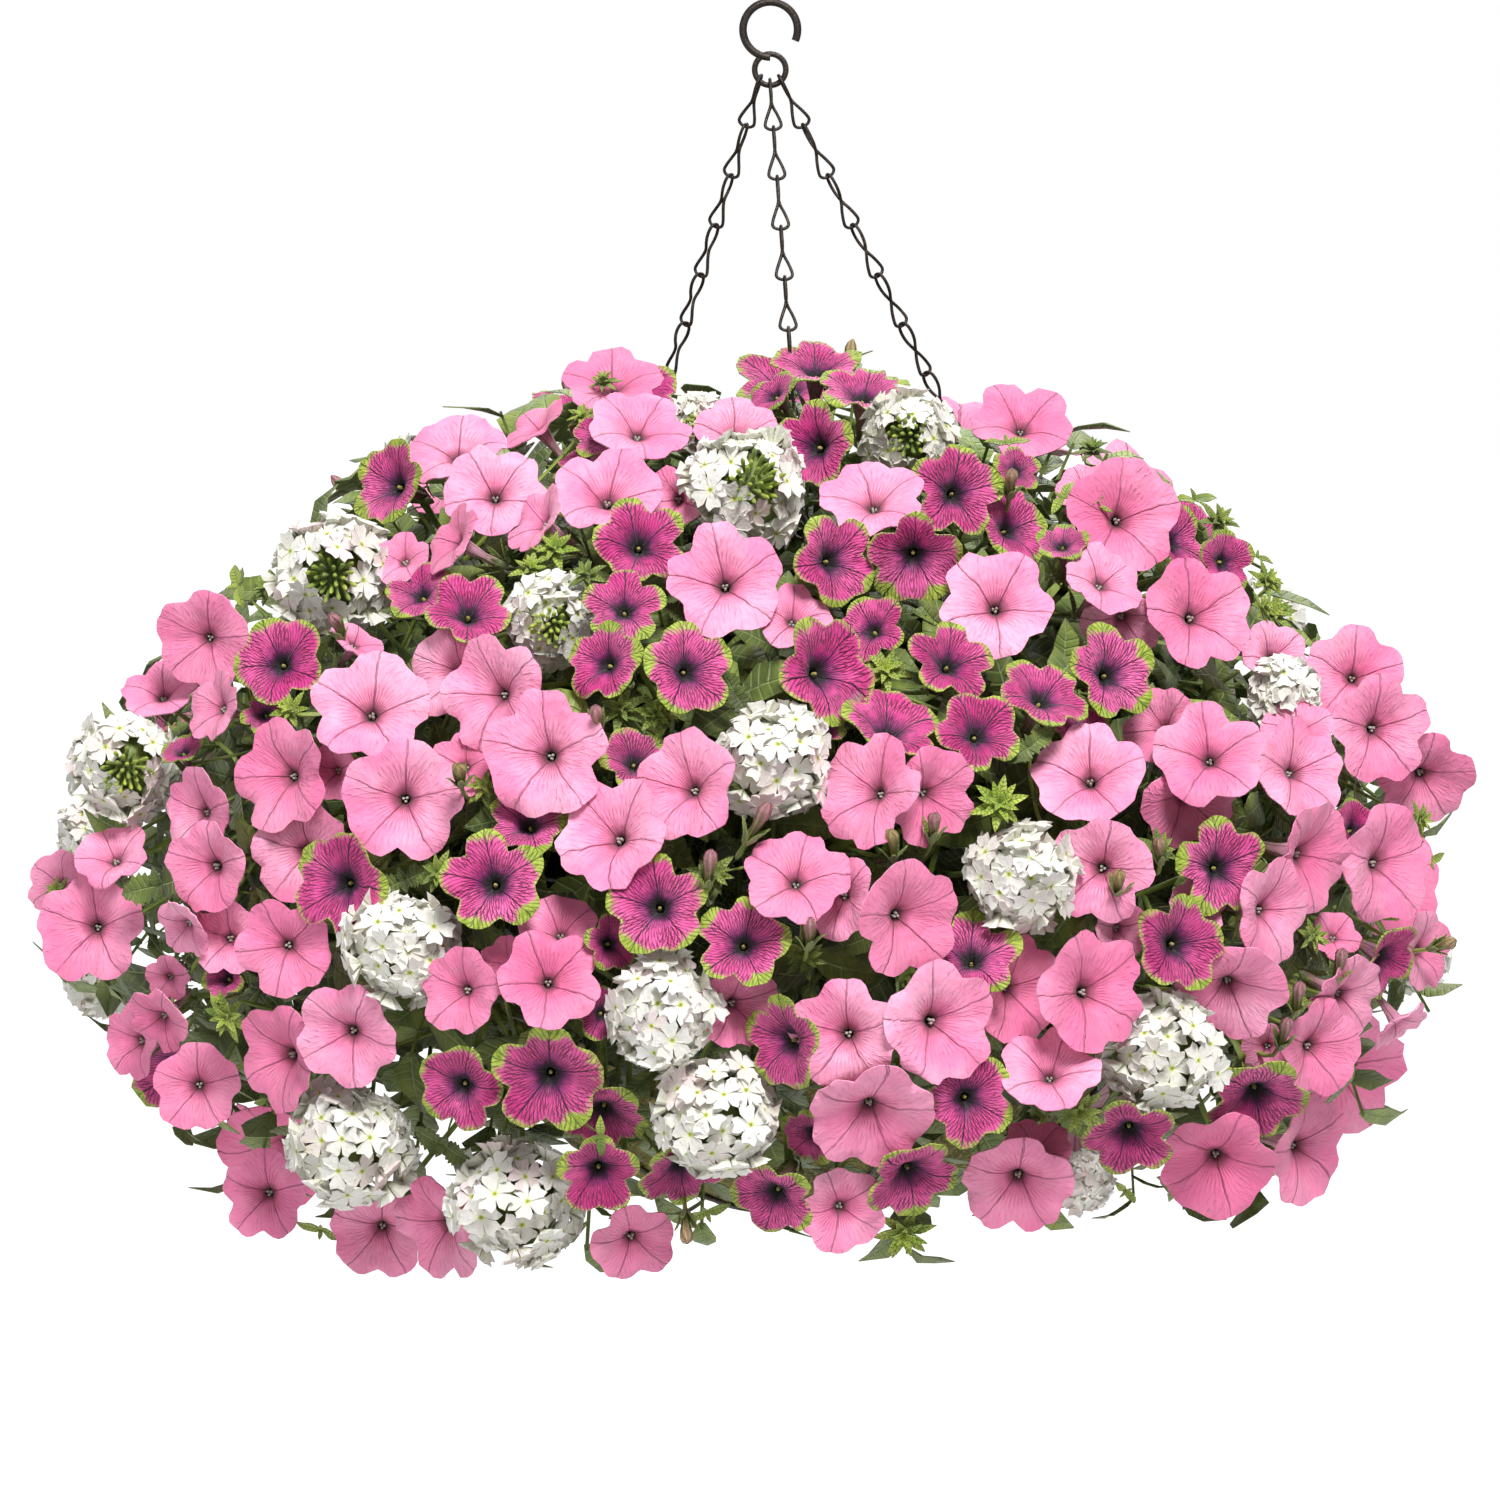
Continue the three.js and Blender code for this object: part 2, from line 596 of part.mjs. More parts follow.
function solidOfGeometry(geometry) {
  const bare = geometry.index ? geometry.toNonIndexed() : geometry.clone();
  bare.deleteAttribute("normal");
  bare.deleteAttribute("uv");
  const merged = mergeVertices(bare, 1e-3);
  return new wasm.Manifold(
    new wasm.Mesh({
      numProp: 3,
      vertProperties: merged.attributes.position.array,
      triVerts: new Uint32Array(merged.index.array),
    }),
  );
}

// A direction square to another, and the third that completes them.
function squareTo(axis, hint) {
  const first = hint.clone().addScaledVector(axis, -hint.dot(axis));
  if (first.length() < 0.05) {
    first.set(axis.y, axis.z, axis.x);
    first.addScaledVector(axis, -first.dot(axis));
  }
  first.normalize();
  return [first, axis.clone().cross(first)];
}

// Adds the rings of a strand that goes down a route, below a first ring if there is one. The rings
// turn with the route and don't twist.
function addStalk(skin, above, route, radii, outward, hint, sides = 3) {
  let ring = above;
  let axis = outward.clone();
  let [across] = squareTo(axis, hint);
  route.forEach((p, i) => {
    const arriving = i ? route[i - 1].clone().sub(p).normalize() : outward.clone();
    const after = i ? route[i + 1] : null;
    if (after) arriving.add(p.clone().sub(after).normalize()).normalize();
    across = turnedWith(across, axis, arriving);
    axis = arriving;
    const second = axis.clone().cross(across);
    const points = Array.from({ length: sides }, (_, k) => {
      const angle = (2 * Math.PI * k) / sides;
      return p
        .clone()
        .addScaledVector(across, radii[i] * Math.cos(angle))
        .addScaledVector(second, radii[i] * Math.sin(angle));
    });
    const next = skin.ring(points);
    if (ring) skin.wall(ring, next);
    else closeRing(skin, [...next].reverse());
    ring = next;
  });
  return { ring, across, axis };
}

// A direction carried along as one axis turns into another.
function turnedWith(direction, from, to) {
  return direction.clone().applyQuaternion(new THREE.Quaternion().setFromUnitVectors(from, to));
}

// Closes a ring with a flat end.
function closeRing(skin, ring) {
  for (let i = 1; i + 1 < ring.length; i++) skin.faces.push([ring[0], ring[i + 1], ring[i]]);
}

// A wire, stem or rod of few sides along a route.
function rod(route, radius, sides = 3, hint = v(0.3, 0.5, 0.8)) {
  const skin = new Skin();
  const radii = Array.isArray(radius) ? radius : route.map(() => radius);
  const outward = route[0].clone().sub(route[1]).normalize();
  closeRing(skin, addStalk(skin, null, route, radii, outward, hint, sides).ring);
  return skin.solid();
}

// A closed loop of wire through the given points. Its section faces the loop's middle with a flat, or
// with a ridge when its phase is 0.
function loop(points, radius, sides, middle, phase = 0.5) {
  const skin = new Skin();
  const count = points.length;
  const rings = points.map((p, i) => {
    const arriving = p.clone().sub(points[(i + count - 1) % count]).normalize();
    const axis = points[(i + 1) % count].clone().sub(p).normalize().add(arriving).normalize();
    const [first, second] = squareTo(axis, middle.clone().sub(p));
    return skin.ring(
      Array.from({ length: sides }, (_, k) => {
        const angle = (2 * Math.PI * (k + phase)) / sides;
        return p
          .clone()
          .addScaledVector(first, radius * Math.cos(angle))
          .addScaledVector(second, radius * Math.sin(angle));
      }),
    );
  });
  rings.forEach((ring, i) => skin.wall(ring, rings[(i + 1) % count]));
  return skin.solid();
}

// Directions eased apart until each can have a face of its own; the first stays as it is.
function easedApart(directions) {
  const apart = turn(SOCKETS_APART);
  for (let round = 0; round < 60; round++) {
    directions.forEach((a, i) => {
      for (const b of directions.slice(i + 1)) {
        const short = apart - a.angleTo(b);
        if (short <= 0) continue;
        const push = a.clone().sub(b).setLength(short / 2);
        b.addScaledVector(push, i ? -1 : -2).normalize();
        if (i) a.add(push).normalize();
      }
    });
  }
  return directions;
}

const faceMiddle = (hub, leaves) => hub.clone().addScaledVector(leaves, Math.sqrt(HUB ** 2 - SOCKET ** 2));

// Ends a strand on its own face of its hub, whose three corners stand in line with the strand's rings.
function endOnHub(skin, { ring, across, axis }, strand, grow) {
  const middle = faceMiddle(strand.hub, strand.leaves);
  const first = turnedWith(across, axis, strand.leaves);
  const second = strand.leaves.clone().cross(first);
  const corners = (size) =>
    [0, 1, 2].map((k) =>
      middle
        .clone()
        .addScaledVector(first, size * Math.cos(turn(120 * k)))
        .addScaledVector(second, size * Math.sin(turn(120 * k))),
    );
  strand.socket = corners(SOCKET);
  const last = skin.ring(corners(SOCKET + grow));
  skin.wall(ring, last);
  closeRing(skin, last);
}

// A bloom, a shoot tip or a pair of leaves with its tube and stalk; grow adds clear space all round.
function bladeSolid(g, grow) {
  const kind = KINDS[g.kind];
  const outline = g.layer && kind.tube ? roundish : kind.outline;
  const skin = new Skin();
  const [first, second] = squareTo(g.facing, v(Math.cos(g.number), Math.sin(g.number), 0.3));
  const at = (angle, radius, depth) =>
    g.centre
      .clone()
      .addScaledVector(first, radius * Math.cos(angle))
      .addScaledVector(second, radius * Math.sin(angle))
      .addScaledVector(g.facing, -depth);
  const rim = (extra, forward) =>
    skin.ring(
      outline.map(([degrees, share], i) => {
        const wave = kind.ruffle * g.radius * 2 * (chance(g.number * 31 + i) - 0.5);
        return at(turn(degrees), g.radius * share + extra, wave - forward);
      }),
    );
  const cup = kind.cup * g.radius;
  const spread = kind.roomy * grow;
  skin.cap(skin.point(at(0, 0, cup - spread)), rim(spread, spread));
  const front = skin.points.length - outline.length;
  const frontRing = outline.map((_, i) => front + i);
  let back = frontRing;
  if (grow) {
    back = rim(spread, -grow);
    skin.wall(frontRing, back);
  }
  const radii = g.radii.map((r) => r + 2 * grow);
  endOnHub(skin, addStalk(skin, back, g.route, radii, g.facing, first), g, 2 * grow);
  return skin.solid();
}

// A head of verbena, raised in knobs, with its stalk.
const HEAD_RINGS = [34, 70, 108];
const HEAD_SIDES = 8;
function headSolid(g, grow) {
  const skin = new Skin();
  const [first, second] = squareTo(g.facing, v(Math.cos(g.number), Math.sin(g.number), 0.3));
  const at = (angle, polar, radius) =>
    g.centre
      .clone()
      .addScaledVector(first, radius * Math.sin(polar) * Math.cos(angle))
      .addScaledVector(second, radius * Math.sin(polar) * Math.sin(angle))
      .addScaledVector(g.facing, radius * KINDS.verbena.flatness * Math.cos(polar));
  let ring = null;
  HEAD_RINGS.forEach((polar, row) => {
    const points = Array.from({ length: HEAD_SIDES }, (_, i) => {
      const knob = 1 + KINDS.verbena.relief * ((i + row) % 2 ? 1 : -1);
      return at((2 * Math.PI * i) / HEAD_SIDES, turn(polar), g.radius * knob + grow);
    });
    const next = skin.ring(points);
    if (ring) skin.wall(ring, next);
    else skin.cap(skin.point(at(0, 0, 0.94 * g.radius + grow)), next);
    ring = next;
  });
  const radii = g.radii.map((r) => r + 2 * grow);
  endOnHub(skin, addStalk(skin, ring, g.route, radii, g.facing, first), g, 2 * grow);
  return skin.solid();
}

const growthSolid = (g, grow = 0) => (g.kind === "verbena" ? headSolid(g, grow) : bladeSolid(g, grow));

// Stalks and stems, routed clear of each other.

const strands = [];

function strandsDistance(a0, a1, b0, b1) {
  const u = a1.clone().sub(a0);
  const w = b1.clone().sub(b0);
  const r = a0.clone().sub(b0);
  const [aa, bb, ab, ar, br] = [u.dot(u), w.dot(w), u.dot(w), u.dot(r), w.dot(r)];
  const den = aa * bb - ab * ab;
  const clamp = (x) => Math.min(1, Math.max(0, x));
  let s = den > 1e-9 ? clamp((ab * br - ar * bb) / den) : 0;
  const t = clamp((ab * s + br) / bb);
  s = clamp((ab * t - ar) / aa);
  return a0.clone().addScaledVector(u, s).distanceTo(b0.clone().addScaledVector(w, t));
}

const STRAND_ROOM = 0.8;
function strandsClear(route, radii, owner) {
  for (let i = 0; i + 1 < route.length; i++) {
    const thick = Math.max(radii[i], radii[i + 1]);
    for (const s of strands) {
      if (s.owner === owner) continue;
      const room = thick + s.thick + STRAND_ROOM;
      if (strandsDistance(route[i], route[i + 1], s.from, s.to) < room) return false;
    }
  }
  return true;
}

// Whether a route goes into the basket or over its rim too low.
const RIM_ROOM = 8;
function throughBasket(route) {
  for (let i = 0; i + 1 < route.length; i++) {
    for (let step = 0; step <= 8; step++) {
      const p = route[i].clone().lerp(route[i + 1], step / 8);
      const out = Math.hypot(p.x - BASKET.x, p.y);
      if (p.z < BASKET.rimZ + RIM_ROOM && out < BASKET_PROFILE[0][0] + RIM_ROOM) return true;
    }
  }
  return false;
}
const routeClear = (route, radii, owner) =>
  strandsClear(route, radii, owner) && !throughBasket(route);

function keepStrand(route, radii, owner) {
  for (let i = 0; i + 1 < route.length; i++) {
    strands.push({ from: route[i], to: route[i + 1], thick: Math.max(radii[i], radii[i + 1]), owner });
  }
}

// How many blades of other sprays a route would pierce.
function pierced(route, owner, blades) {
  let count = 0;
  for (const g of blades) {
    if (g.owner === owner) continue;
    for (let i = 0; i + 1 < route.length; i++) {
      const above = route[i].clone().sub(g.centre).dot(g.facing);
      const below = route[i + 1].clone().sub(g.centre).dot(g.facing);
      if (above * below > 0) continue;
      const cut = route[i].clone().lerp(route[i + 1], above / (above - below));
      if (cut.distanceTo(g.centre) < g.radius + 2) count++;
    }
  }
  return count;
}

// Bends a straight run, by its middle or nearer an end, until it is clear, with the least piercing.
const BENDS = [0, 9, 18, 28, 40, 56, 76, 100, 130];
const BEND_PLACES = [0.5, 0.25, 0.8];
function bentRoute(start, end, radius, owner, blades) {
  const axis = end.clone().sub(start).normalize();
  const [first, second] = squareTo(axis, v(0.2, 0.3, 1));
  let best = null;
  for (const bend of BENDS) {
    for (let k = 0; k < (bend ? 8 * BEND_PLACES.length : 1); k++) {
      const angle = (k * Math.PI) / 4;
      const middle = start
        .clone()
        .lerp(end, BEND_PLACES[Math.floor(k / 8)])
        .addScaledVector(first, bend * Math.cos(angle))
        .addScaledVector(second, bend * Math.sin(angle));
      const run = bend ? [start, middle, end] : [start, end];
      if (!routeClear(run, run.map(() => radius), owner)) continue;
      const cost = pierced(run, owner, blades) * 12 + bend;
      if (!best || cost < best.cost) best = { run, cost };
    }
  }
  return best && best.run;
}

// Everything that grows, near side and far side.

const nearBlooms = [
  ...PINK.map((row, i) => growthFromRow("pink", row, i)),
  ...PURPLE.map((row, i) => growthFromRow("purple", row, 200 + i)),
];
const nearHeads = VERBENA.map((row, i) => growthFromRow("verbena", row, 400 + i));
const nearLeaves = FOLIAGE.map((row, i) => growthFromLeafRow(row, 500 + i));
const near = [...nearHeads, ...nearBlooms, ...nearLeaves];
const growths = [...near, ...farSide(near)];
settle(growths);

// Sprays: growths of one kind that stand together share a stem.

const familyOf = (g) => (g.kind in SPRAYS ? g.kind : "leafy");

// Halves the fullest group across its widest way until there are enough.
function intoGroups(members, count) {
  const groups = [members];
  while (groups.length < count) {
    groups.sort((a, b) => b.length - a.length);
    const [fullest] = groups.splice(0, 1);
    const box = new THREE.Box3().setFromPoints(fullest.map((g) => g.centre));
    const size = box.getSize(v(0, 0, 0));
    const widest = ["x", "y", "z"].reduce((a, b) => (size[b] > size[a] ? b : a));
    const ordered = [...fullest].sort((a, b) => a.centre[widest] - b.centre[widest]);
    const half = Math.round(ordered.length / 2);
    groups.push(ordered.slice(0, half), ordered.slice(half));
  }
  return groups;
}

const core = v(BASKET.x, 0, BASKET.rimZ + 60);
const soilZ = BASKET.rimZ - SOIL_DEPTH_BELOW_RIM;
const sprays = [];
for (const [family, count] of Object.entries(SPRAYS)) {
  const grown = growths.filter((g) => familyOf(g) === family);
  intoGroups(grown, count).forEach((members, i) => {
    const name = `${family}_spray_${String(i + 1).padStart(2, "0")}`;
    members.forEach((g) => (g.owner = name));
    sprays.push({ name, family, members });
  });
}

// The depth of a growth's back, where its tube or stalk begins.
function footDepth(g) {
  const kind = KINDS[g.kind];
  return g.kind === "verbena" ? 0.62 * g.radius : kind.cup * g.radius + kind.wall;
}

// The chains and the rim keep their room before anything is routed.

const bearingOf = (p) => Math.atan2(p.y, p.x - BASKET.x);
const aroundBasket = (radius, bearing, z) =>
  v(BASKET.x + radius * Math.cos(bearing), radius * Math.sin(bearing), z);
const station = (i) => (2 * Math.PI * i) / BASKET.stations;

function rimPoint(bearing) {
  const step = station(1);
  const middle = (Math.floor(bearing / step) + 0.5) * step;
  const chord = (BASKET_PROFILE[0][0] * Math.cos(step / 2)) / Math.cos(bearing - middle);
  return { place: aroundBasket(chord, bearing, BASKET.rimZ), tangent: v(-Math.sin(middle), Math.cos(middle), 0) };
}

const chainLines = CHAINS.map((chain) => {
  const eyeTurn = turn(chain.eyeAngle);
  const eye = v(HOOK.eyeRadius * Math.cos(eyeTurn), 0, HOOK.eyeZ + HOOK.eyeRadius * Math.sin(eyeTurn));
  const eyeTangent = v(-Math.sin(eyeTurn), 0, Math.cos(eyeTurn));
  const rim = rimPoint(turn(chain.rimAngle));
  return { ...chain, eye, eyeTangent, rim, down: rim.place.clone().sub(eye).normalize() };
});
const CHAIN_ROOM = 6;
for (const line of chainLines) {
  keepStrand([line.eye, line.rim.place], [CHAIN_ROOM, CHAIN_ROOM], "chains");
}
for (let i = 0; i < BASKET.stations; i++) {
  const run = [station(i), station(i + 1)].map((b) => aroundBasket(BASKET_PROFILE[0][0], b, BASKET.rimZ));
  keepStrand(run, [BASKET.wire, BASKET.wire], "basket");
}

// Tubes first, then hubs, then stems from the soil, then the stalks between, each with its own face
// on its hub.

for (const g of growths) {
  const foot = g.centre.clone().addScaledVector(g.facing, -footDepth(g));
  const kind = KINDS[g.kind];
  g.route = [foot];
  g.radii = [Math.max(STALK, kind.foot * g.radius)];
  for (const share of kind.tube && !g.layer ? [1, 0.7, 0.4] : []) {
    const end = foot.clone().addScaledVector(g.facing, -kind.tube * share);
    const last = share === 0.4;
    if (!last && !routeClear([foot, end], [g.radii[0], STALK], g.owner)) continue;
    keepStrand([foot, end], [g.radii[0], STALK], g.owner);
    g.route.push(end);
    g.radii.push(STALK + 0.9);
    break;
  }
}
for (const spray of sprays) {
  const hub = v(0, 0, 0);
  for (const g of spray.members) {
    const back = footDepth(g) + KINDS[g.kind].tube;
    hub.add(g.centre).addScaledVector(g.facing, -back);
  }
  hub.divideScalar(spray.members.length);
  const inward = core.clone().sub(hub).normalize();
  hub.addScaledVector(inward, HUB_DEPTH);
  const room = HUB + 2 * STALK;
  const above = v(0, 0, 0.1);
  while (!routeClear([hub, hub.clone().add(above)], [room, room], spray.name)) {
    hub.addScaledVector(inward, HUB);
  }
  spray.hub = hub;
  keepStrand([hub, hub.clone().add(above)], [room, room], spray.name);
}

const OVER_RIM = { rootRadius: 158, outside: 214, lift: 20 };
const ROOT_SPACING = 9;
const roots = [];
for (const spray of sprays) {
  const out = Math.hypot(spray.hub.x - BASKET.x, spray.hub.y);
  const rimShare = (BASKET_PROFILE[0][0] - OVER_RIM.rootRadius) / (out - OVER_RIM.rootRadius);
  const passes = soilZ + (spray.hub.z - soilZ) * rimShare;
  const over = out > BASKET_PROFILE[0][0] && passes < BASKET.rimZ + OVER_RIM.lift;
  const rootRadius = over ? OVER_RIM.rootRadius : Math.min(140, Math.max(24, 0.5 * out));
  for (let attempt = 0; attempt < 60 && !spray.stem; attempt++) {
    const swing = turn(3 * Math.ceil(attempt / 2) * (attempt % 2 ? 1 : -1));
    const bearing = bearingOf(spray.hub) + swing;
    const root = aroundBasket(rootRadius, bearing, soilZ);
    if (roots.some((r) => r.distanceTo(root) < ROOT_SPACING)) continue;
    const up = root.clone().add(v(0, 0, SOIL_DEPTH_BELOW_RIM + RIM_ROOM));
    const start = [root.clone().add(v(0, 0, GAP - HOLE_DEPTH)), up];
    if (over) start.push(aroundBasket(OVER_RIM.outside, bearing, BASKET.rimZ + OVER_RIM.lift));
    if (!strandsClear(start, start.map(() => STEM), spray.name)) continue;
    const rest = bentRoute(start[start.length - 1], spray.hub, STEM, spray.name, []);
    if (!rest) continue;
    roots.push(root);
    spray.stem = [...start, ...rest.slice(1, -1)];
    keepStrand([...spray.stem, spray.hub], [...spray.stem, spray.hub].map(() => STEM), spray.name);
  }
  if (!spray.stem) throw new Error(`${spray.name} has no way up from the soil`);
}
for (const spray of sprays) {
  const strandEnds = [spray.stem[spray.stem.length - 1], ...spray.members.map((g) => g.route[g.route.length - 1])];
  const directions = strandEnds.map((p) => p.clone().sub(spray.hub).normalize());
  const [stemLeaves, ...leaving] = easedApart(directions);
  spray.leaves = stemLeaves;
  spray.members.forEach((g, i) => {
    g.hub = spray.hub;
    g.leaves = leaving[i];
  });
}
for (const g of growths) {
  const start = g.route[g.route.length - 1];
  const end = faceMiddle(g.hub, g.leaves);
  const rest = bentRoute(start, end, STALK, g.owner, growths);
  if (!rest && g.number < FAR.firstNumber) {
    throw new Error(`${g.owner} has no room for the stalk of growth ${g.number}`);
  }
  g.reached = Boolean(rest);
  if (!g.reached) continue;
  const backwards = g.facing.clone().negate();
  if (g.route.length === 1 && rest[1].clone().sub(start).angleTo(backwards) > turn(NECK.bladeSlant)) {
    rest.splice(1, 0, start.clone().addScaledVector(backwards, NECK.belowBlade));
  }
  const slant = rest[rest.length - 2].clone().sub(end).angleTo(g.leaves);
  if (slant > turn(NECK.slant)) rest.splice(-1, 0, end.clone().addScaledVector(g.leaves, NECK.length));
  keepStrand(rest, rest.map(() => STALK), g.owner);
  for (const p of rest.slice(1, -1)) {
    g.route.push(p);
    g.radii.push(STALK);
  }
}

// A growth of the far side that finds no way to its hub is left out.
const grown = growths.filter((g) => g.reached);
for (const spray of sprays) spray.members = spray.members.filter((g) => g.reached);

// Where two growths of different sprays would cut through each other, one gives way to the other.

const overlapsBox = (a, b) =>
  [0, 1, 2].every((k) => a.min[k] < b.max[k] && b.min[k] < a.max[k]);

// The share of a growth that still hangs on its hub when room is cut out of it.
function shareLeft(g, room) {
  const end = [0, 1, 2].map((k) => g.socket[0].getComponent(k));
  const hangsOn = ({ min, max }) => end.every((e, k) => min[k] - GAP < e && e < max[k] + GAP);
  const pieces = g.solid.subtract(room).decompose();
  const volumes = pieces.filter((piece) => hangsOn(piece.boundingBox())).map((piece) => piece.volume());
  return Math.max(0, ...volumes) / g.solid.volume();
}

for (const g of grown) {
  g.solid = growthSolid(g);
  g.box = g.solid.boundingBox();
  g.cutters = [];
}
grown.forEach((a, i) => {
  for (const b of grown.slice(i + 1)) {
    if (a.owner === b.owner || !overlapsBox(a.box, b.box)) continue;
    if (a.solid.intersect(b.solid).isEmpty()) continue;
    const [roomOfA, roomOfB] = [growthSolid(a, GAP), growthSolid(b, GAP)];
    if (shareLeft(a, roomOfB) > shareLeft(b, roomOfA)) a.cutters.push(roomOfB);
    else b.cutters.push(roomOfA);
  }
});

function stemSolid(spray, grow) {
  const skin = new Skin();
  const radii = spray.stem.map(() => STEM + 2 * grow);
  const outward = v(0, 0, -1);
  const end = addStalk(skin, null, spray.stem, radii, outward, v(0.3, 0.5, 0.8));
  endOnHub(skin, end, spray, 2 * grow);
  return skin.solid();
}
const hubSolid = (spray) =>
  solidOfGeometry(new ConvexGeometry([spray.socket, ...spray.members.map((g) => g.socket)].flat()));

// A knot that binds a strand to its hub where the two don't hold by their common face alone.
function knotSolid(socket) {
  const middle = socket.reduce((sum, p) => sum.clone().add(p)).divideScalar(3);
  const knot = new THREE.OctahedronGeometry(1.5 * SOCKET);
  return solidOfGeometry(knot.translate(middle.x, middle.y, middle.z));
}

// The clear space round a hub, an icosahedron with its faces this share of its radius from its middle.
const FACE_SHARE = 0.795;
function hubRoom({ hub }) {
  const room = new THREE.IcosahedronGeometry((HUB + GAP) / FACE_SHARE);
  return solidOfGeometry(room.translate(hub.x, hub.y, hub.z));
}
const chainRoom = chainLines.map((line) => rod([line.eye, line.rim.place], CHAIN_ROOM, 6));
for (const spray of sprays) {
  const clear = stemSolid(spray, GAP).add(hubRoom(spray));
  const box = clear.boundingBox();
  for (const g of grown) {
    if (g.owner !== spray.name && overlapsBox(g.box, box)) g.cutters.push(clear);
  }
}

function largestPiece(solid) {
  return solid.decompose().sort((a, b) => b.volume() - a.volume())[0];
}

const part = new THREE.Group();
part.name = "petunia_hanging_basket";
const materials = {
  wire: new THREE.MeshStandardMaterial({ color: "#3f3631", roughness: 0.45, metalness: 0.7 }),
  moss: new THREE.MeshStandardMaterial({ color: "#5b5a2a", roughness: 1 }),
  soil: new THREE.MeshStandardMaterial({ color: "#2b1f17", roughness: 1 }),
  pink: new THREE.MeshStandardMaterial({ color: "#f58ab4", roughness: 0.6 }),
  purple: new THREE.MeshStandardMaterial({ color: "#b5257f", roughness: 0.6 }),
  verbena: new THREE.MeshStandardMaterial({ color: "#f4f3ee", roughness: 0.7 }),
  leafy: new THREE.MeshStandardMaterial({ color: "#4f7a35", roughness: 0.6 }),
};

// Adds a solid as a named mesh, placed by the point that it is modelled round.
function addNode(name, solid, material, place = v(0, 0, 0)) {
  const made = solid.getMesh();
  const geometry = new THREE.BufferGeometry();
  const positions = new Float32Array(made.numVert * 3);
  for (let i = 0; i < made.numVert; i++) {
    const first = i * made.numProp;
    positions.set(made.vertProperties.subarray(first, first + 3), 3 * i);
  }
  geometry.setAttribute("position", new THREE.BufferAttribute(positions, 3));
  geometry.setIndex(new THREE.BufferAttribute(made.triVerts, 1));
  geometry.translate(-place.x, -place.y, -place.z);
  geometry.computeVertexNormals();
  const mesh = new THREE.Mesh(geometry, material);
  mesh.name = name;
  mesh.position.copy(place);
  part.add(mesh);
}

for (const spray of sprays) {
  const pieces = spray.members.map((g) => {
    const cutters = [...g.cutters, ...chainRoom.filter((room) => overlapsBox(room.boundingBox(), g.box))];
    return cutters.length ? largestPiece(g.solid.subtract(wasm.Manifold.union(cutters))) : g.solid;
  });
  let whole = hubSolid(spray).add(stemSolid(spray, 0));
  for (const piece of pieces) whole = whole.add(piece);
  for (const socket of [spray.socket, ...spray.members.map((g) => g.socket)]) {
    const bodies = whole.decompose().length;
    const bound = bodies > 1 ? whole.add(knotSolid(socket)) : whole;
    if (bound.decompose().length < bodies) whole = bound;
  }
  whole = largestPiece(whole);
  addNode(spray.name, whole, materials[spray.family], spray.hub);
}

// The hook: an open bow that ends at the top of a closed eye.
function hookSolid() {
  const bowZ = HOOK.wire - HOOK.bowRadius;
  const bow = Array.from({ length: 13 }, (_, i) => {
    const angle = turn(-24 + (294 * i) / 12);
    return v(HOOK.bowRadius * Math.cos(angle), 0, bowZ + HOOK.bowRadius * Math.sin(angle));
  });
  const eye = Array.from({ length: 12 }, (_, i) => {
    const angle = (2 * Math.PI * i) / 12;
    return v(HOOK.eyeRadius * Math.cos(angle), 0, HOOK.eyeZ + HOOK.eyeRadius * Math.sin(angle));
  });
  return wasm.Manifold.union([
    rod(bow, HOOK.wire, 4, v(0, 1, 0)),
    loop(eye, HOOK.eyeWire, 4, v(0, 0, HOOK.eyeZ)),
  ]);
}
addNode("hook", hookSolid(), materials.wire);

// A chain link: one wire bent into a wide upper loop and, turned square to it, a narrow lower end.
function linkSolid(top, down, across, square, length) {
  const at = (share, sideways, direction) =>
    top
      .clone()
      .addScaledVector(down, share * length)
      .addScaledVector(direction, sideways);
  const points = [
    at(0, CHAIN.endHalfWidth, across),
    at(0.4, CHAIN.halfWidth, across),
    at(1, CHAIN.endHalfWidth, square),
    at(1, -CHAIN.endHalfWidth, square),
    at(0.4, -CHAIN.halfWidth, across),
    at(0, -CHAIN.endHalfWidth, across),
  ];
  return loop(points, CHAIN.wire, 3, top.clone().addScaledVector(down, length / 2), 0);
}

// The clip that closes round the rim.
function clipSolid(top, down, across) {
  const outline = [
    [CHAIN.endHalfWidth, 0],
    [4.7, CHAIN.clipLength - 4],
    [2, CHAIN.clipLength],
    [-2, CHAIN.clipLength],
    [-4.7, CHAIN.clipLength - 4],
    [-CHAIN.endHalfWidth, 0],
  ];
  const points = outline.map(([sideways, along]) =>
    top.clone().addScaledVector(down, along).addScaledVector(across, sideways),
  );
  return loop(points, CHAIN.wire, 3, top.clone().addScaledVector(down, CHAIN.clipLength / 2), 0);
}

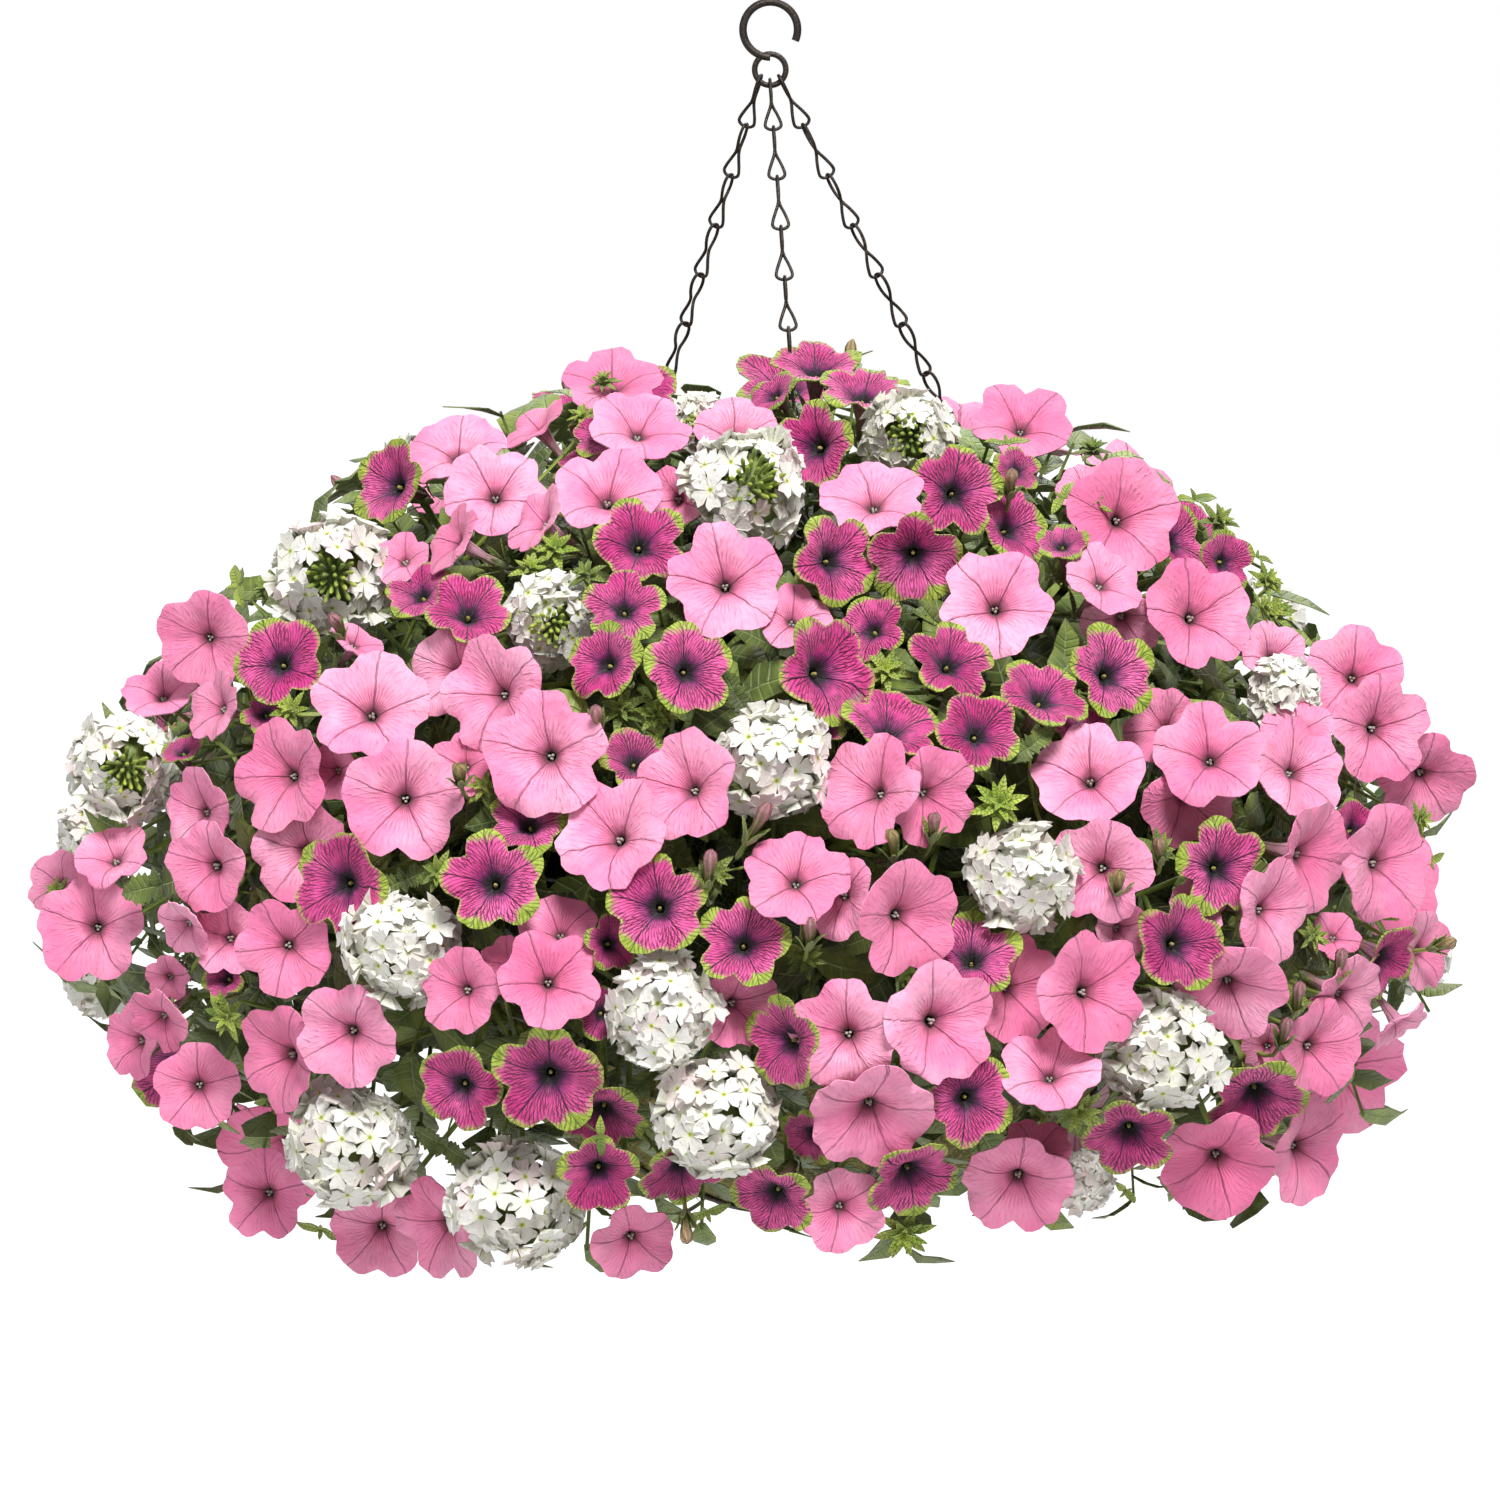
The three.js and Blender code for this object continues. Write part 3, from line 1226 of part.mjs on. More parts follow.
const EYE_TO_LINK_TOP = 2.9;
const RIM_TO_CLIP_END = BASKET.wire + CHAIN.wire + GAP;
for (const { name, eye, eyeTangent, rim, down } of chainLines) {
  const top = eye.clone().addScaledVector(down, -EYE_TO_LINK_TOP);
  const clipTop = rim.place.clone().addScaledVector(down, RIM_TO_CLIP_END - CHAIN.clipLength);
  const run = clipTop.distanceTo(top) + CHAIN.hooked;
  const count = Math.round(run / CHAIN.pitch);
  const pitch = run / count;
  const [, first] = squareTo(down, eyeTangent);
  const [, last] = squareTo(down, rim.tangent);
  const twist = Math.atan2(first.clone().cross(last).dot(down), first.dot(last));
  const links = Array.from({ length: count }, (_, i) => {
    const across = first.clone().applyAxisAngle(down, (twist * i) / (count - 1));
    const square = down.clone().cross(across);
    const hooked = i ? CHAIN.hooked : 0;
    const linkTop = top.clone().addScaledVector(down, pitch * i - hooked);
    return linkSolid(linkTop, down, across, square, pitch + hooked);
  });
  const clip = clipSolid(clipTop, down, last);
  addNode(name, wasm.Manifold.union([...links, clip]), materials.wire, eye);
}

// The wire basket: a rim, ribs down to a bottom ring, and a hoop between.
function basketSolid() {
  const ring = ([radius, depth], wire, sides) =>
    loop(
      Array.from({ length: BASKET.stations }, (_, i) => aroundBasket(radius, station(i), BASKET.rimZ + depth)),
      wire,
      sides,
      v(BASKET.x, 0, BASKET.rimZ + depth),
    );
  const rims = [
    ring(BASKET_PROFILE[0], BASKET.wire, 4),
    ring(BASKET_PROFILE[1], BASKET.ribWire, 3),
    ring(BASKET_PROFILE[3], BASKET.ribWire, 3),
  ];
  const ribs = [];
  for (let i = RIBS.first; i < BASKET.stations; i += RIBS.every) {
    const run = BASKET_PROFILE.map(([radius, depth]) => aroundBasket(radius, station(i), BASKET.rimZ + depth));
    ribs.push(rod(run, BASKET.ribWire));
  }
  return wasm.Manifold.union([...rims, ...ribs]);
}
addNode("wire_basket", basketSolid(), materials.wire);

// The basket's profile moved inward by a distance, square to itself, as [radius, height] pairs.
function insetProfile(distance, topDepth) {
  const inner = BASKET_PROFILE.map(([radius, depth], i) => {
    const [r0, z0] = BASKET_PROFILE[Math.max(0, i - 1)];
    const [r1, z1] = BASKET_PROFILE[Math.min(BASKET_PROFILE.length - 1, i + 1)];
    const length = Math.hypot(r1 - r0, z1 - z0);
    return [radius + (distance * (z1 - z0)) / length, depth - (distance * (r1 - r0)) / length];
  });
  const slope = (inner[1][0] - inner[0][0]) / (inner[1][1] - inner[0][1]);
  inner[0] = [inner[0][0] + slope * (-topDepth - inner[0][1]), -topDepth];
  return inner;
}

// A body of revolution about the basket's axis.
function turned(profile) {
  const points = profile.map(([radius, height]) => new THREE.Vector2(radius, height));
  const geometry = new THREE.LatheGeometry(points, BASKET.stations);
  geometry.rotateX(Math.PI / 2).translate(BASKET.x, 0, BASKET.rimZ);
  return solidOfGeometry(geometry);
}

const LINER_TOP = 6;
const linerInset = BASKET.ribWire + GAP;
const outerWall = insetProfile(linerInset, LINER_TOP).reverse();
const innerWall = insetProfile(linerInset + LINER_THICKNESS, LINER_TOP);
const linerProfile = [
  [0, outerWall[0][1]],
  ...outerWall,
  ...innerWall,
  [0, innerWall[innerWall.length - 1][1]],
];
addNode("moss_liner", turned(linerProfile), materials.moss);

// The soil, with a plain hole for each stem.
const soilWall = insetProfile(linerInset + LINER_THICKNESS + GAP, SOIL_DEPTH_BELOW_RIM).reverse();
const soilProfile = [[0, soilWall[0][1]], ...soilWall, [0, -SOIL_DEPTH_BELOW_RIM]];
const holes = roots.map((root) =>
  rod([root.clone().add(v(0, 0, 5)), root.clone().add(v(0, 0, -HOLE_DEPTH))], STEM + 2 * GAP),
);
addNode("soil", turned(soilProfile).subtract(wasm.Manifold.union(holes)), materials.soil);

export default part;
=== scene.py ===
# Petunia hanging basket: a moss-lined wire basket on three chains and a hook, planted with pink
# petunias, magenta petunias with a lime edge, and white verbena.
import math

import bmesh
import bpy
import numpy as np
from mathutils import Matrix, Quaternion, Vector, noise


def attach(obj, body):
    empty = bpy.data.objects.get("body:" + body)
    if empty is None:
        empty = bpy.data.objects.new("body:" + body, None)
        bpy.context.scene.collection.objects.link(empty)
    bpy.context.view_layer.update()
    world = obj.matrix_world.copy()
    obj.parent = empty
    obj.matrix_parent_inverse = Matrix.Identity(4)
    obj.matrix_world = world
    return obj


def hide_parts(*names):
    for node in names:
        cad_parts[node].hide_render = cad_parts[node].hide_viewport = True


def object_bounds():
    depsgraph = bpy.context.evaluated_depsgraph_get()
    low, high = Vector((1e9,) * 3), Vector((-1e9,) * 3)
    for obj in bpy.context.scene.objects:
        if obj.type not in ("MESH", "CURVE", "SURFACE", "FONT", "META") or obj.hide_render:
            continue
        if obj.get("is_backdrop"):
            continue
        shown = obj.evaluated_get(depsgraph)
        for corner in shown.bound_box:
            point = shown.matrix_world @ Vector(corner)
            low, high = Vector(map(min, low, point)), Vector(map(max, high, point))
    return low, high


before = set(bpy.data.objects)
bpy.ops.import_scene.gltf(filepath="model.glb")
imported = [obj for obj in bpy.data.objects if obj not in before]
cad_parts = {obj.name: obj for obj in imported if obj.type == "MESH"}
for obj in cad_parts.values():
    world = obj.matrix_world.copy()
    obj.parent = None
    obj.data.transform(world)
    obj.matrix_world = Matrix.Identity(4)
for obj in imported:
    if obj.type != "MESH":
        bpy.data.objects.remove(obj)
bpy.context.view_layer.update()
scene = bpy.context.scene

# The view: a long lens 2.6 m away, slightly above the basket, on a picture 1500 pixels across. One
# pixel is 0.52 mm in the upright plane that the hook hangs in, with the hook at the top of the picture.
PICTURE_SIZE = 1500
PICTURE_MIDDLE = (750, 750)
HOOK_PIXEL = (770, 13)
PIXEL = 0.52
VIEW_DISTANCE = 2600
VIEW_LIFT = math.radians(5.5)
SENSOR_WIDTH = 36
VIEW_ENDS = 100
view_right = np.array([1.0, 0, 0])
view_forward = np.array([0, math.cos(VIEW_LIFT), -math.sin(VIEW_LIFT)])
view_up = np.array([0, math.sin(VIEW_LIFT), math.cos(VIEW_LIFT)])
view_target = PIXEL * np.array([PICTURE_MIDDLE[0] - HOOK_PIXEL[0], 0, HOOK_PIXEL[1] - PICTURE_MIDDLE[1]])
view_point = view_target - VIEW_DISTANCE * view_forward
camera_data = bpy.data.cameras.new("camera")
camera_data.lens = SENSOR_WIDTH * VIEW_DISTANCE / (PICTURE_SIZE * PIXEL)
camera_data.sensor_width = SENSOR_WIDTH
camera_data.clip_end = VIEW_ENDS
camera = bpy.data.objects.new("camera", camera_data)
camera.location = Vector(view_point) / 1000
camera.rotation_euler = (math.pi / 2 - VIEW_LIFT, 0, 0)
scene.collection.objects.link(camera)
scene.camera = camera

# The studio: a pale floor under the hanging basket, a white surround, a broad key light from above
# in front, a little to the right, a weaker fill from the left and one behind. The floor and the surround
# look brighter than the light that they give, so the shadows between the flowers stay clear.
FLOOR = {"drop": 1.9, "size": 90, "grey": 0.92, "roughness": 0.9, "given": 0.1, "seen": 0.95}
SKY = {"given": 0.22, "seen": 1.0}
LIT_POINT = (0, 0, -0.4)
LAMPS = [
    ("key", (0.5, -2.4, 2.3), 1.1, 152),
    ("fill", (-2.4, -1.9, 0.4), 2.0, 14),
    ("back", (0.6, 2.4, 2.0), 2.0, 70),
]


def light_up(tree, socket, strengths):
    """Sets how strongly a surface glows: one strength as seen, another as it lights the basket."""
    light_path = tree.nodes.new("ShaderNodeLightPath")
    strength = tree.nodes.new("ShaderNodeMapRange")
    strength.inputs["To Min"].default_value = strengths["given"]
    strength.inputs["To Max"].default_value = strengths["seen"]
    tree.links.new(light_path.outputs["Is Camera Ray"], strength.inputs["Value"])
    tree.links.new(strength.outputs["Result"], socket)


bpy.ops.object.select_all(action="DESELECT")
bpy.ops.mesh.primitive_plane_add(size=FLOOR["size"], location=(0, 0, -FLOOR["drop"]))
floor = bpy.context.object
floor.name = "floor"
floor_paint = bpy.data.materials.new("pale_floor")
floor_paint.use_nodes = True
shader = floor_paint.node_tree.nodes["Principled BSDF"]
shader.inputs["Base Color"].default_value = (FLOOR["grey"], FLOOR["grey"], FLOOR["grey"], 1)
shader.inputs["Roughness"].default_value = FLOOR["roughness"]
shader.inputs["Emission Color"].default_value = (1, 1, 1, 1)
light_up(floor_paint.node_tree, shader.inputs["Emission Strength"], FLOOR)
floor.data.materials.append(floor_paint)
floor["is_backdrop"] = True
world = bpy.data.worlds.new("studio")
world.use_nodes = True
sky = world.node_tree.nodes["Background"]
sky.inputs["Color"].default_value = (1, 1, 1, 1)
light_up(world.node_tree, sky.inputs["Strength"], SKY)
scene.world = world
for name, place, size, power in LAMPS:
    lamp = bpy.data.lights.new(name, "AREA")
    lamp.size = size
    lamp.energy = power
    light = bpy.data.objects.new(name, lamp)
    light.location = place
    light.rotation_euler = (Vector(LIT_POINT) - Vector(place)).to_track_quat("-Z", "Y").to_euler()
    scene.collection.objects.link(light)
scene.view_settings.view_transform = "Standard"

# The hook: an open bow of 4 mm steel wire that ends in a closed eye for the chains. All the wire of
# the basket is painted dark brown, and is worn lighter where it rubs.
HOOK = {"wire": 2.0, "bow_radius": 14, "bow_from": -24, "bow_to": 270}
HOOK |= {"eye_wire": 1.5, "eye_radius": 8, "eye_z": -32.4}


def link_in(tree, socket, value):
    if isinstance(value, bpy.types.NodeSocket):
        tree.links.new(value, socket)
    else:
        socket.default_value = value


def add_node(tree, kind, inputs=None, **settings):
    made = tree.nodes.new(kind)
    for name, value in settings.items():
        setattr(made, name, value)
    for key, value in (inputs or {}).items():
        link_in(tree, made.inputs[key], value)
    return made


def worked(tree, operation, *values):
    """The result of a sum, product or other working on one to three values."""
    made = tree.nodes.new("ShaderNodeMath")
    made.operation = operation
    for i, value in enumerate(values):
        link_in(tree, made.inputs[i], value)
    return made.outputs[0]


def mixed(tree, share, first, second):
    """One colour laid over another, by the share of the second."""
    made = tree.nodes.new("ShaderNodeMix")
    made.data_type = "RGBA"
    link_in(tree, made.inputs[0], share)
    link_in(tree, made.inputs[6], first)
    link_in(tree, made.inputs[7], second)
    return made.outputs[2]


def ramped(tree, value, low, high, from_value=0.0, to_value=1.0):
    """A value spread from its own range over another, and held at both ends."""
    made = add_node(tree, "ShaderNodeMapRange", {"Value": value, "From Min": low, "From Max": high})
    made.inputs["To Min"].default_value = from_value
    made.inputs["To Max"].default_value = to_value
    return made.outputs["Result"]


def colour(text):
    """The light of a colour given as it looks on a screen."""
    levels = [int(text[i : i + 2], 16) / 255 for i in (1, 3, 5)]
    return (*[c / 12.92 if c <= 0.04045 else ((c + 0.055) / 1.055) ** 2.4 for c in levels], 1.0)


def new_group(name, inputs, outputs):
    group = bpy.data.node_groups.new(name, "ShaderNodeTree")
    for socket, kind in inputs:
        group.interface.new_socket(name=socket, in_out="INPUT", socket_type="NodeSocket" + kind)
    for socket, kind in outputs:
        group.interface.new_socket(name=socket, in_out="OUTPUT", socket_type="NodeSocket" + kind)
    return group, group.nodes.new("NodeGroupInput"), group.nodes.new("NodeGroupOutput")


# Cloudy variation at two sizes, coarse and fine, which every finish of the basket has: no paint, petal,
# leaf or moss is one even colour.
mottle_group, given, result = new_group(
    "mottle",
    [("Place", "Vector"), ("Coarse", "Float"), ("Fine", "Float")],
    [("Clouds", "Float"), ("Grain", "Float")],
)
for label, scale in (("Clouds", "Coarse"), ("Grain", "Fine")):
    inputs = {"Vector": given.outputs["Place"], "Scale": given.outputs[scale], "Detail": 3.0}
    cloud = add_node(mottle_group, "ShaderNodeTexNoise", inputs)
    mottle_group.links.new(cloud.outputs["Fac"], result.inputs[label])


def new_finish(name, coarse, fine):
    """A new material: itself, its tree and shader, the place on the piece, and its clouds and grain."""
    finish = bpy.data.materials.new(name)
    finish.use_nodes = True
    tree = finish.node_tree
    place = add_node(tree, "ShaderNodeTexCoord").outputs["Object"]
    mottle = add_node(tree, "ShaderNodeGroup", node_tree=mottle_group)
    link_in(tree, mottle.inputs["Place"], place)
    mottle.inputs["Coarse"].default_value = coarse
    mottle.inputs["Fine"].default_value = fine
    clouds, grain = mottle.outputs["Clouds"], mottle.outputs["Grain"]
    return finish, tree, tree.nodes["Principled BSDF"], place, clouds, grain


def painted(tree, shader, shade, uneven, smoothest, roughest):
    """Gives a finish its colour, and a roughness that is uneven."""
    link_in(tree, shader.inputs["Base Color"], shade)
    link_in(tree, shader.inputs["Roughness"], ramped(tree, uneven, 0.3, 0.7, smoothest, roughest))


def bumped(tree, shader, height, depth):
    """Fine relief in a finish, with its depth in metres."""
    made = add_node(tree, "ShaderNodeBump", {"Height": height, "Distance": depth, "Strength": 1.0})
    tree.links.new(made.outputs["Normal"], shader.inputs["Normal"])


wire_paint, tree, shader, place, clouds, grain = new_finish("painted_wire", 90.0, 900.0)
shade = mixed(tree, ramped(tree, clouds, 0.55, 0.72), colour("#3B332D"), colour("#6E6258"))
shade = mixed(tree, ramped(tree, grain, 0.4, 0.7), shade, colour("#27211D"))
painted(tree, shader, shade, clouds, 0.38, 0.6)
shader.inputs["Metallic"].default_value = 0.45
bumped(tree, shader, grain, 0.0003)


def wire_piece(name, runs, *nodes):
    """Round wires as one piece: each run is its points, its radius, and whether it closes on itself."""
    curve = bpy.data.curves.new(name, "CURVE")
    curve.dimensions = "3D"
    curve.bevel_depth = runs[0][1] / 1000
    curve.bevel_resolution = 2
    curve.use_fill_caps = True
    for points, radius, closed in runs:
        spline = curve.splines.new("POLY")
        spline.points.add(len(points) - 1)
        for spot, p in zip(spline.points, points):
            spot.co = (*(np.asarray(p) / 1000), 1)
            spot.radius = radius / runs[0][1]
        spline.use_cyclic_u = closed
        spline.use_smooth = True
    piece = bpy.data.objects.new(name, curve)
    scene.collection.objects.link(piece)
    bpy.ops.object.select_all(action="DESELECT")
    piece.select_set(True)
    bpy.context.view_layer.objects.active = piece
    bpy.ops.object.convert(target="MESH")
    piece = bpy.context.object
    piece.data.materials.append(wire_paint)
    bpy.ops.object.shade_smooth_by_angle(angle=math.radians(50))
    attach(piece, "root")
    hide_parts(*nodes)


def ring_points(middle, radius, first, last, count, closed=False):
    """Points of an upright ring, between two angles in degrees."""
    angles = np.radians(np.linspace(first, last, count, endpoint=not closed))
    return [(middle[0] + radius * math.cos(a), middle[1], middle[2] + radius * math.sin(a)) for a in angles]


bow_middle = (0, 0, HOOK["wire"] - HOOK["bow_radius"])
bow = ring_points(bow_middle, HOOK["bow_radius"], HOOK["bow_from"], HOOK["bow_to"], 60)
eye = ring_points((0, 0, HOOK["eye_z"]), HOOK["eye_radius"], 0, 360, 48, closed=True)
wire_piece("hook_wire", [(bow, HOOK["wire"], False), (eye, HOOK["eye_wire"], True)], "hook")

# The three chains, each with its bearings at the basket's rim and round the hook's eye: links of one bent
# wire, a slim loop above and a wider drop below, turned square to it, and a clip that closes round the
# rim. A row of a link or of the clip gives a place along it, its half width there and its turn.
BASKET = {"x": 18, "rim_z": -430, "wire": 2.5, "rib_wire": 1.5, "stations": 24}
BASKET_PROFILE = [(205, 0), (184, -84), (127, -153), (48, -188)]
CHAIN = {"wire": 0.85, "pitch": 28.5, "hooked": 1.05, "clip_length": 17, "eye_to_top": 2.9, "clear": 0.35}
CHAINS = [("chain_left", 135.4, -135), ("chain_front", 272.8, -90), ("chain_right", 23.5, -45)]
LINK_FORM = [
    (0.0, 1.1, 0),
    (0.035, 2.6, 0),
    (0.12, 3.6, 0),
    (0.24, 3.7, 0),
    (0.36, 2.8, 0),
    (0.47, 1.3, 0.15),
    (0.56, 1.0, 0.6),
    (0.68, 2.2, 1),
    (0.82, 3.6, 1),
    (0.92, 4.1, 1),
    (0.975, 3.0, 1),
    (1.0, 1.2, 1),
]
CLIP_FORM = [(0, 1.2), (2, 2.6), (13, 4.6), (16, 3.4), (17, 0), (16, -3.4), (13, -4.6), (2, -2.6), (0, -1.2)]


def unit(a):
    return a / np.linalg.norm(a)


def square_to(axis, hint):
    """Two directions square to an axis and to each other, the first as near a hint as it can be."""
    first = hint - axis * np.dot(hint, axis)
    if np.linalg.norm(first) < 0.05:
        first = np.array([axis[1], axis[2], axis[0]])
        first = first - axis * np.dot(first, axis)
    first = unit(first)
    return first, np.cross(axis, first)


def around_basket(radius, bearing, z):
    return np.array([BASKET["x"] + radius * math.cos(bearing), radius * math.sin(bearing), z])


def eased(points, closed, between=3):
    """A Catmull-Rom curve through points."""
    points = np.asarray(points, float)
    count = len(points)
    made = []
    for i in range(count if closed else count - 1):
        a, b, c, d = (points[k % count if closed else min(max(k, 0), count - 1)] for k in range(i - 1, i + 3))
        for step in range(between):
            t = step / between
            bend = 2 * a - 5 * b + 4 * c - d
            swing = 3 * b - a - 3 * c + d
            made.append(0.5 * (2 * b + (c - a) * t + bend * t**2 + swing * t**3))
    return made if closed else [*made, points[-1]]


def chain_link(top, down, across, length):
    """The wire of a link, down one side and up the other."""
    square = np.cross(down, across)

    def side(sign):
        made = []
        for share, half, turned in LINK_FORM:
            sideways = unit(across * (1 - turned) + square * turned)
            made.append(top + down * share * length + sideways * half * sign)
        return made

    return eased([*side(1), *reversed(side(-1))], True)


for name, rim_angle, eye_angle in CHAINS:
    turn = math.radians(eye_angle)
    around_eye = np.array([math.cos(turn), 0, math.sin(turn)])
    eye_place = np.array([0, 0, HOOK["eye_z"]]) + HOOK["eye_radius"] * around_eye
    eye_tangent = np.array([-math.sin(turn), 0, math.cos(turn)])
    step = 2 * math.pi / BASKET["stations"]
    bearing = math.radians(rim_angle)
    middle = (math.floor(bearing / step) + 0.5) * step
    chord = BASKET_PROFILE[0][0] * math.cos(step / 2) / math.cos(bearing - middle)
    rim_place = around_basket(chord, bearing, BASKET["rim_z"])
    rim_tangent = np.array([-math.sin(middle), math.cos(middle), 0])
    down = unit(rim_place - eye_place)
    top = eye_place - CHAIN["eye_to_top"] * down
    clip_end = BASKET["wire"] + CHAIN["wire"] + CHAIN["clear"]
    clip_top = rim_place + down * (clip_end - CHAIN["clip_length"])
    run = np.linalg.norm(clip_top - top) + CHAIN["hooked"]
    count = round(run / CHAIN["pitch"])
    pitch = run / count
    first = square_to(down, eye_tangent)[1]
    last = square_to(down, rim_tangent)[1]
    twist = math.atan2(np.dot(np.cross(first, last), down), np.dot(first, last))
    runs = []
    for i in range(count):
        across = np.array(Quaternion(down, twist * i / (count - 1)) @ Vector(first))
        hooked = CHAIN["hooked"] if i else 0
        link_top = top + down * (pitch * i - hooked)
        runs.append((chain_link(link_top, down, across, pitch + hooked), CHAIN["wire"], True))
    clip = [clip_top + down * along + last * sideways for along, sideways in CLIP_FORM]
    runs.append((eased(clip, True), CHAIN["wire"], True))
    wire_piece(name + "_links", runs, name)

# The wire basket: a stout rim, ribs down to a bottom ring and a hoop between, all of round steel wire
# with the same paint as the chains, and welded where they meet.
RIBS = {"first": 3, "every": 4}
RINGS = [(0, "wire"), (1, "rib_wire"), (3, "rib_wire")]
RING_FORM = {"share": 0.996, "points": 72}
runs = []
for level, wire in RINGS:
    radius, depth = BASKET_PROFILE[level]
    ring = []
    for i in range(RING_FORM["points"]):
        bearing = 2 * math.pi * i / RING_FORM["points"]
        ring.append(around_basket(radius * RING_FORM["share"], bearing, BASKET["rim_z"] + depth))
    runs.append((ring, BASKET[wire], True))
for i in range(RIBS["first"], BASKET["stations"], RIBS["every"]):
    bearing = 2 * math.pi * i / BASKET["stations"]
    rib = [around_basket(radius, bearing, BASKET["rim_z"] + depth) for radius, depth in BASKET_PROFILE]
    runs.append((eased(rib, False, 6), BASKET["rib_wire"], False))
wire_piece("basket_wires", runs, "wire_basket")

# The moss liner: a thick felt of sphagnum and sheet moss packed inside the wires, rough and tufted,
# bulging a little between the ribs.
LINER = {"thickness": 11, "inset": 1.85, "top": 6, "columns": 180, "floor": [0.75, 0.5, 0.25, 0.06]}
LUMPS = {"size": 0.05, "height": 2.2}
TUFTS = {"size": 0.35, "height": 1.3}
BULGE = {"height": 2.4, "below": -8, "turned": 45}


def inset_profile(distance, top_depth):
    """The basket's side, moved in by a distance and cut off level under the rim."""
    inner = []
    for i, (radius, depth) in enumerate(BASKET_PROFILE):
        r0, z0 = BASKET_PROFILE[max(0, i - 1)]
        r1, z1 = BASKET_PROFILE[min(len(BASKET_PROFILE) - 1, i + 1)]
        length = math.hypot(r1 - r0, z1 - z0)
        inner.append([radius + distance * (z1 - z0) / length, depth - distance * (r1 - r0) / length])
    slope = (inner[1][0] - inner[0][0]) / (inner[1][1] - inner[0][1])
    inner[0] = [inner[0][0] + slope * (-top_depth - inner[0][1]), -top_depth]
    return inner


def new_piece(name, points, faces, finish, nodes=(), flat=None, values=None, angle=60):
    """A mesh of points in millimetres, with a flat map and named values at its points."""
    mesh = bpy.data.meshes.new(name)
    mesh.from_pydata((np.asarray(points) / 1000).tolist(), [], [list(map(int, f)) for f in faces])
    corners = np.zeros(len(mesh.loops), int)
    mesh.loops.foreach_get("vertex_index", corners)
    if flat is not None:
        layer = mesh.uv_layers.new(name="flat")
        layer.data.foreach_set("uv", np.asarray(flat, float)[corners].ravel())
    for label, numbers in (values or {}).items():
        mesh.attributes.new(label, "FLOAT", "POINT").data.foreach_set("value", np.asarray(numbers, float))
    mesh.update()
    piece = bpy.data.objects.new(name, mesh)
    scene.collection.objects.link(piece)
    mesh.materials.append(finish)
    bpy.ops.object.select_all(action="DESELECT")
    piece.select_set(True)
    bpy.context.view_layer.objects.active = piece
    bpy.ops.object.shade_smooth_by_angle(angle=math.radians(angle))
    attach(piece, "root")
    if nodes:
        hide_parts(*nodes)
    return piece


def ringed_faces(rows, columns):
    """Faces between rows of points that each close into a ring, with a cap on the first and the last."""
    i, j = np.meshgrid(np.arange(rows - 1), np.arange(columns), indexing="ij")
    a = (i * columns + j).ravel()
    b = (i * columns + (j + 1) % columns).ravel()
    faces = np.stack([a, b, b + columns, a + columns], axis=1).tolist()
    faces.append(list(range(columns - 1, -1, -1)))
    faces.append(list(range((rows - 1) * columns, rows * columns)))
    return faces


moss, tree, shader, place, clouds, grain = new_finish("moss", 45.0, 420.0)
strands = {"Vector": place, "Scale": 160.0, "Detail": 4.0, "Distortion": 2.5}
tuft = add_node(tree, "ShaderNodeTexNoise", strands).outputs["Fac"]
shade = mixed(tree, ramped(tree, clouds, 0.35, 0.68), colour("#3E4019"), colour("#7A7432"))
shade = mixed(tree, ramped(tree, tuft, 0.52, 0.72), shade, colour("#9A8B4E"))
shade = mixed(tree, ramped(tree, tuft, 0.45, 0.25), shade, colour("#1E1C0D"))
link_in(tree, shader.inputs["Base Color"], shade)
shader.inputs["Roughness"].default_value = 0.95
bumped(tree, shader, worked(tree, "ADD", tuft, worked(tree, "MULTIPLY", grain, 0.5)), 0.004)

outer = inset_profile(LINER["inset"], LINER["top"])
inner = inset_profile(LINER["inset"] + LINER["thickness"], LINER["top"])
section = eased([[p[0], 0, p[1]] for p in outer], False, 14)
inside = eased([[p[0], 0, p[1]] for p in inner], False, 6)
rows = [(p[0], p[2], 1) for p in section] + [(section[-1][0] * k, section[-1][2], 1) for k in LINER["floor"]]
rows = [(p[0], p[2], 0) for p in reversed(inside)] + rows
rows = [(inside[-1][0] * k, inside[-1][2], 0) for k in reversed(LINER["floor"])] + rows
points = []
for radius, depth, outside in rows:
    for j in range(LINER["columns"]):
        bearing = 2 * math.pi * j / LINER["columns"]
        p = around_basket(radius, bearing, BASKET["rim_z"] + depth)
        lumps = noise.fractal(Vector(p) * LUMPS["size"], 1.0, 2.0, 4) * LUMPS["height"]
        rough = lumps + noise.noise(Vector(p) * TUFTS["size"]) * TUFTS["height"]
        between_ribs = math.sin(3 * (bearing - math.radians(BULGE["turned"]))) ** 2
        bulge = BULGE["height"] * between_ribs * (depth < BULGE["below"])
        push = outside * (rough + bulge) if radius > 20 else 0
        lift = 0 if outside else rough * 0.4
        away = unit(np.array([p[0] - BASKET["x"], p[1], 0.6 * depth]) + 1e-9)
        points.append(p + away * push + np.array([0, 0, lift]))
faces = ringed_faces(len(rows), LINER["columns"])
new_piece("moss_lining", points, faces, moss, ["moss_liner"], angle=80)

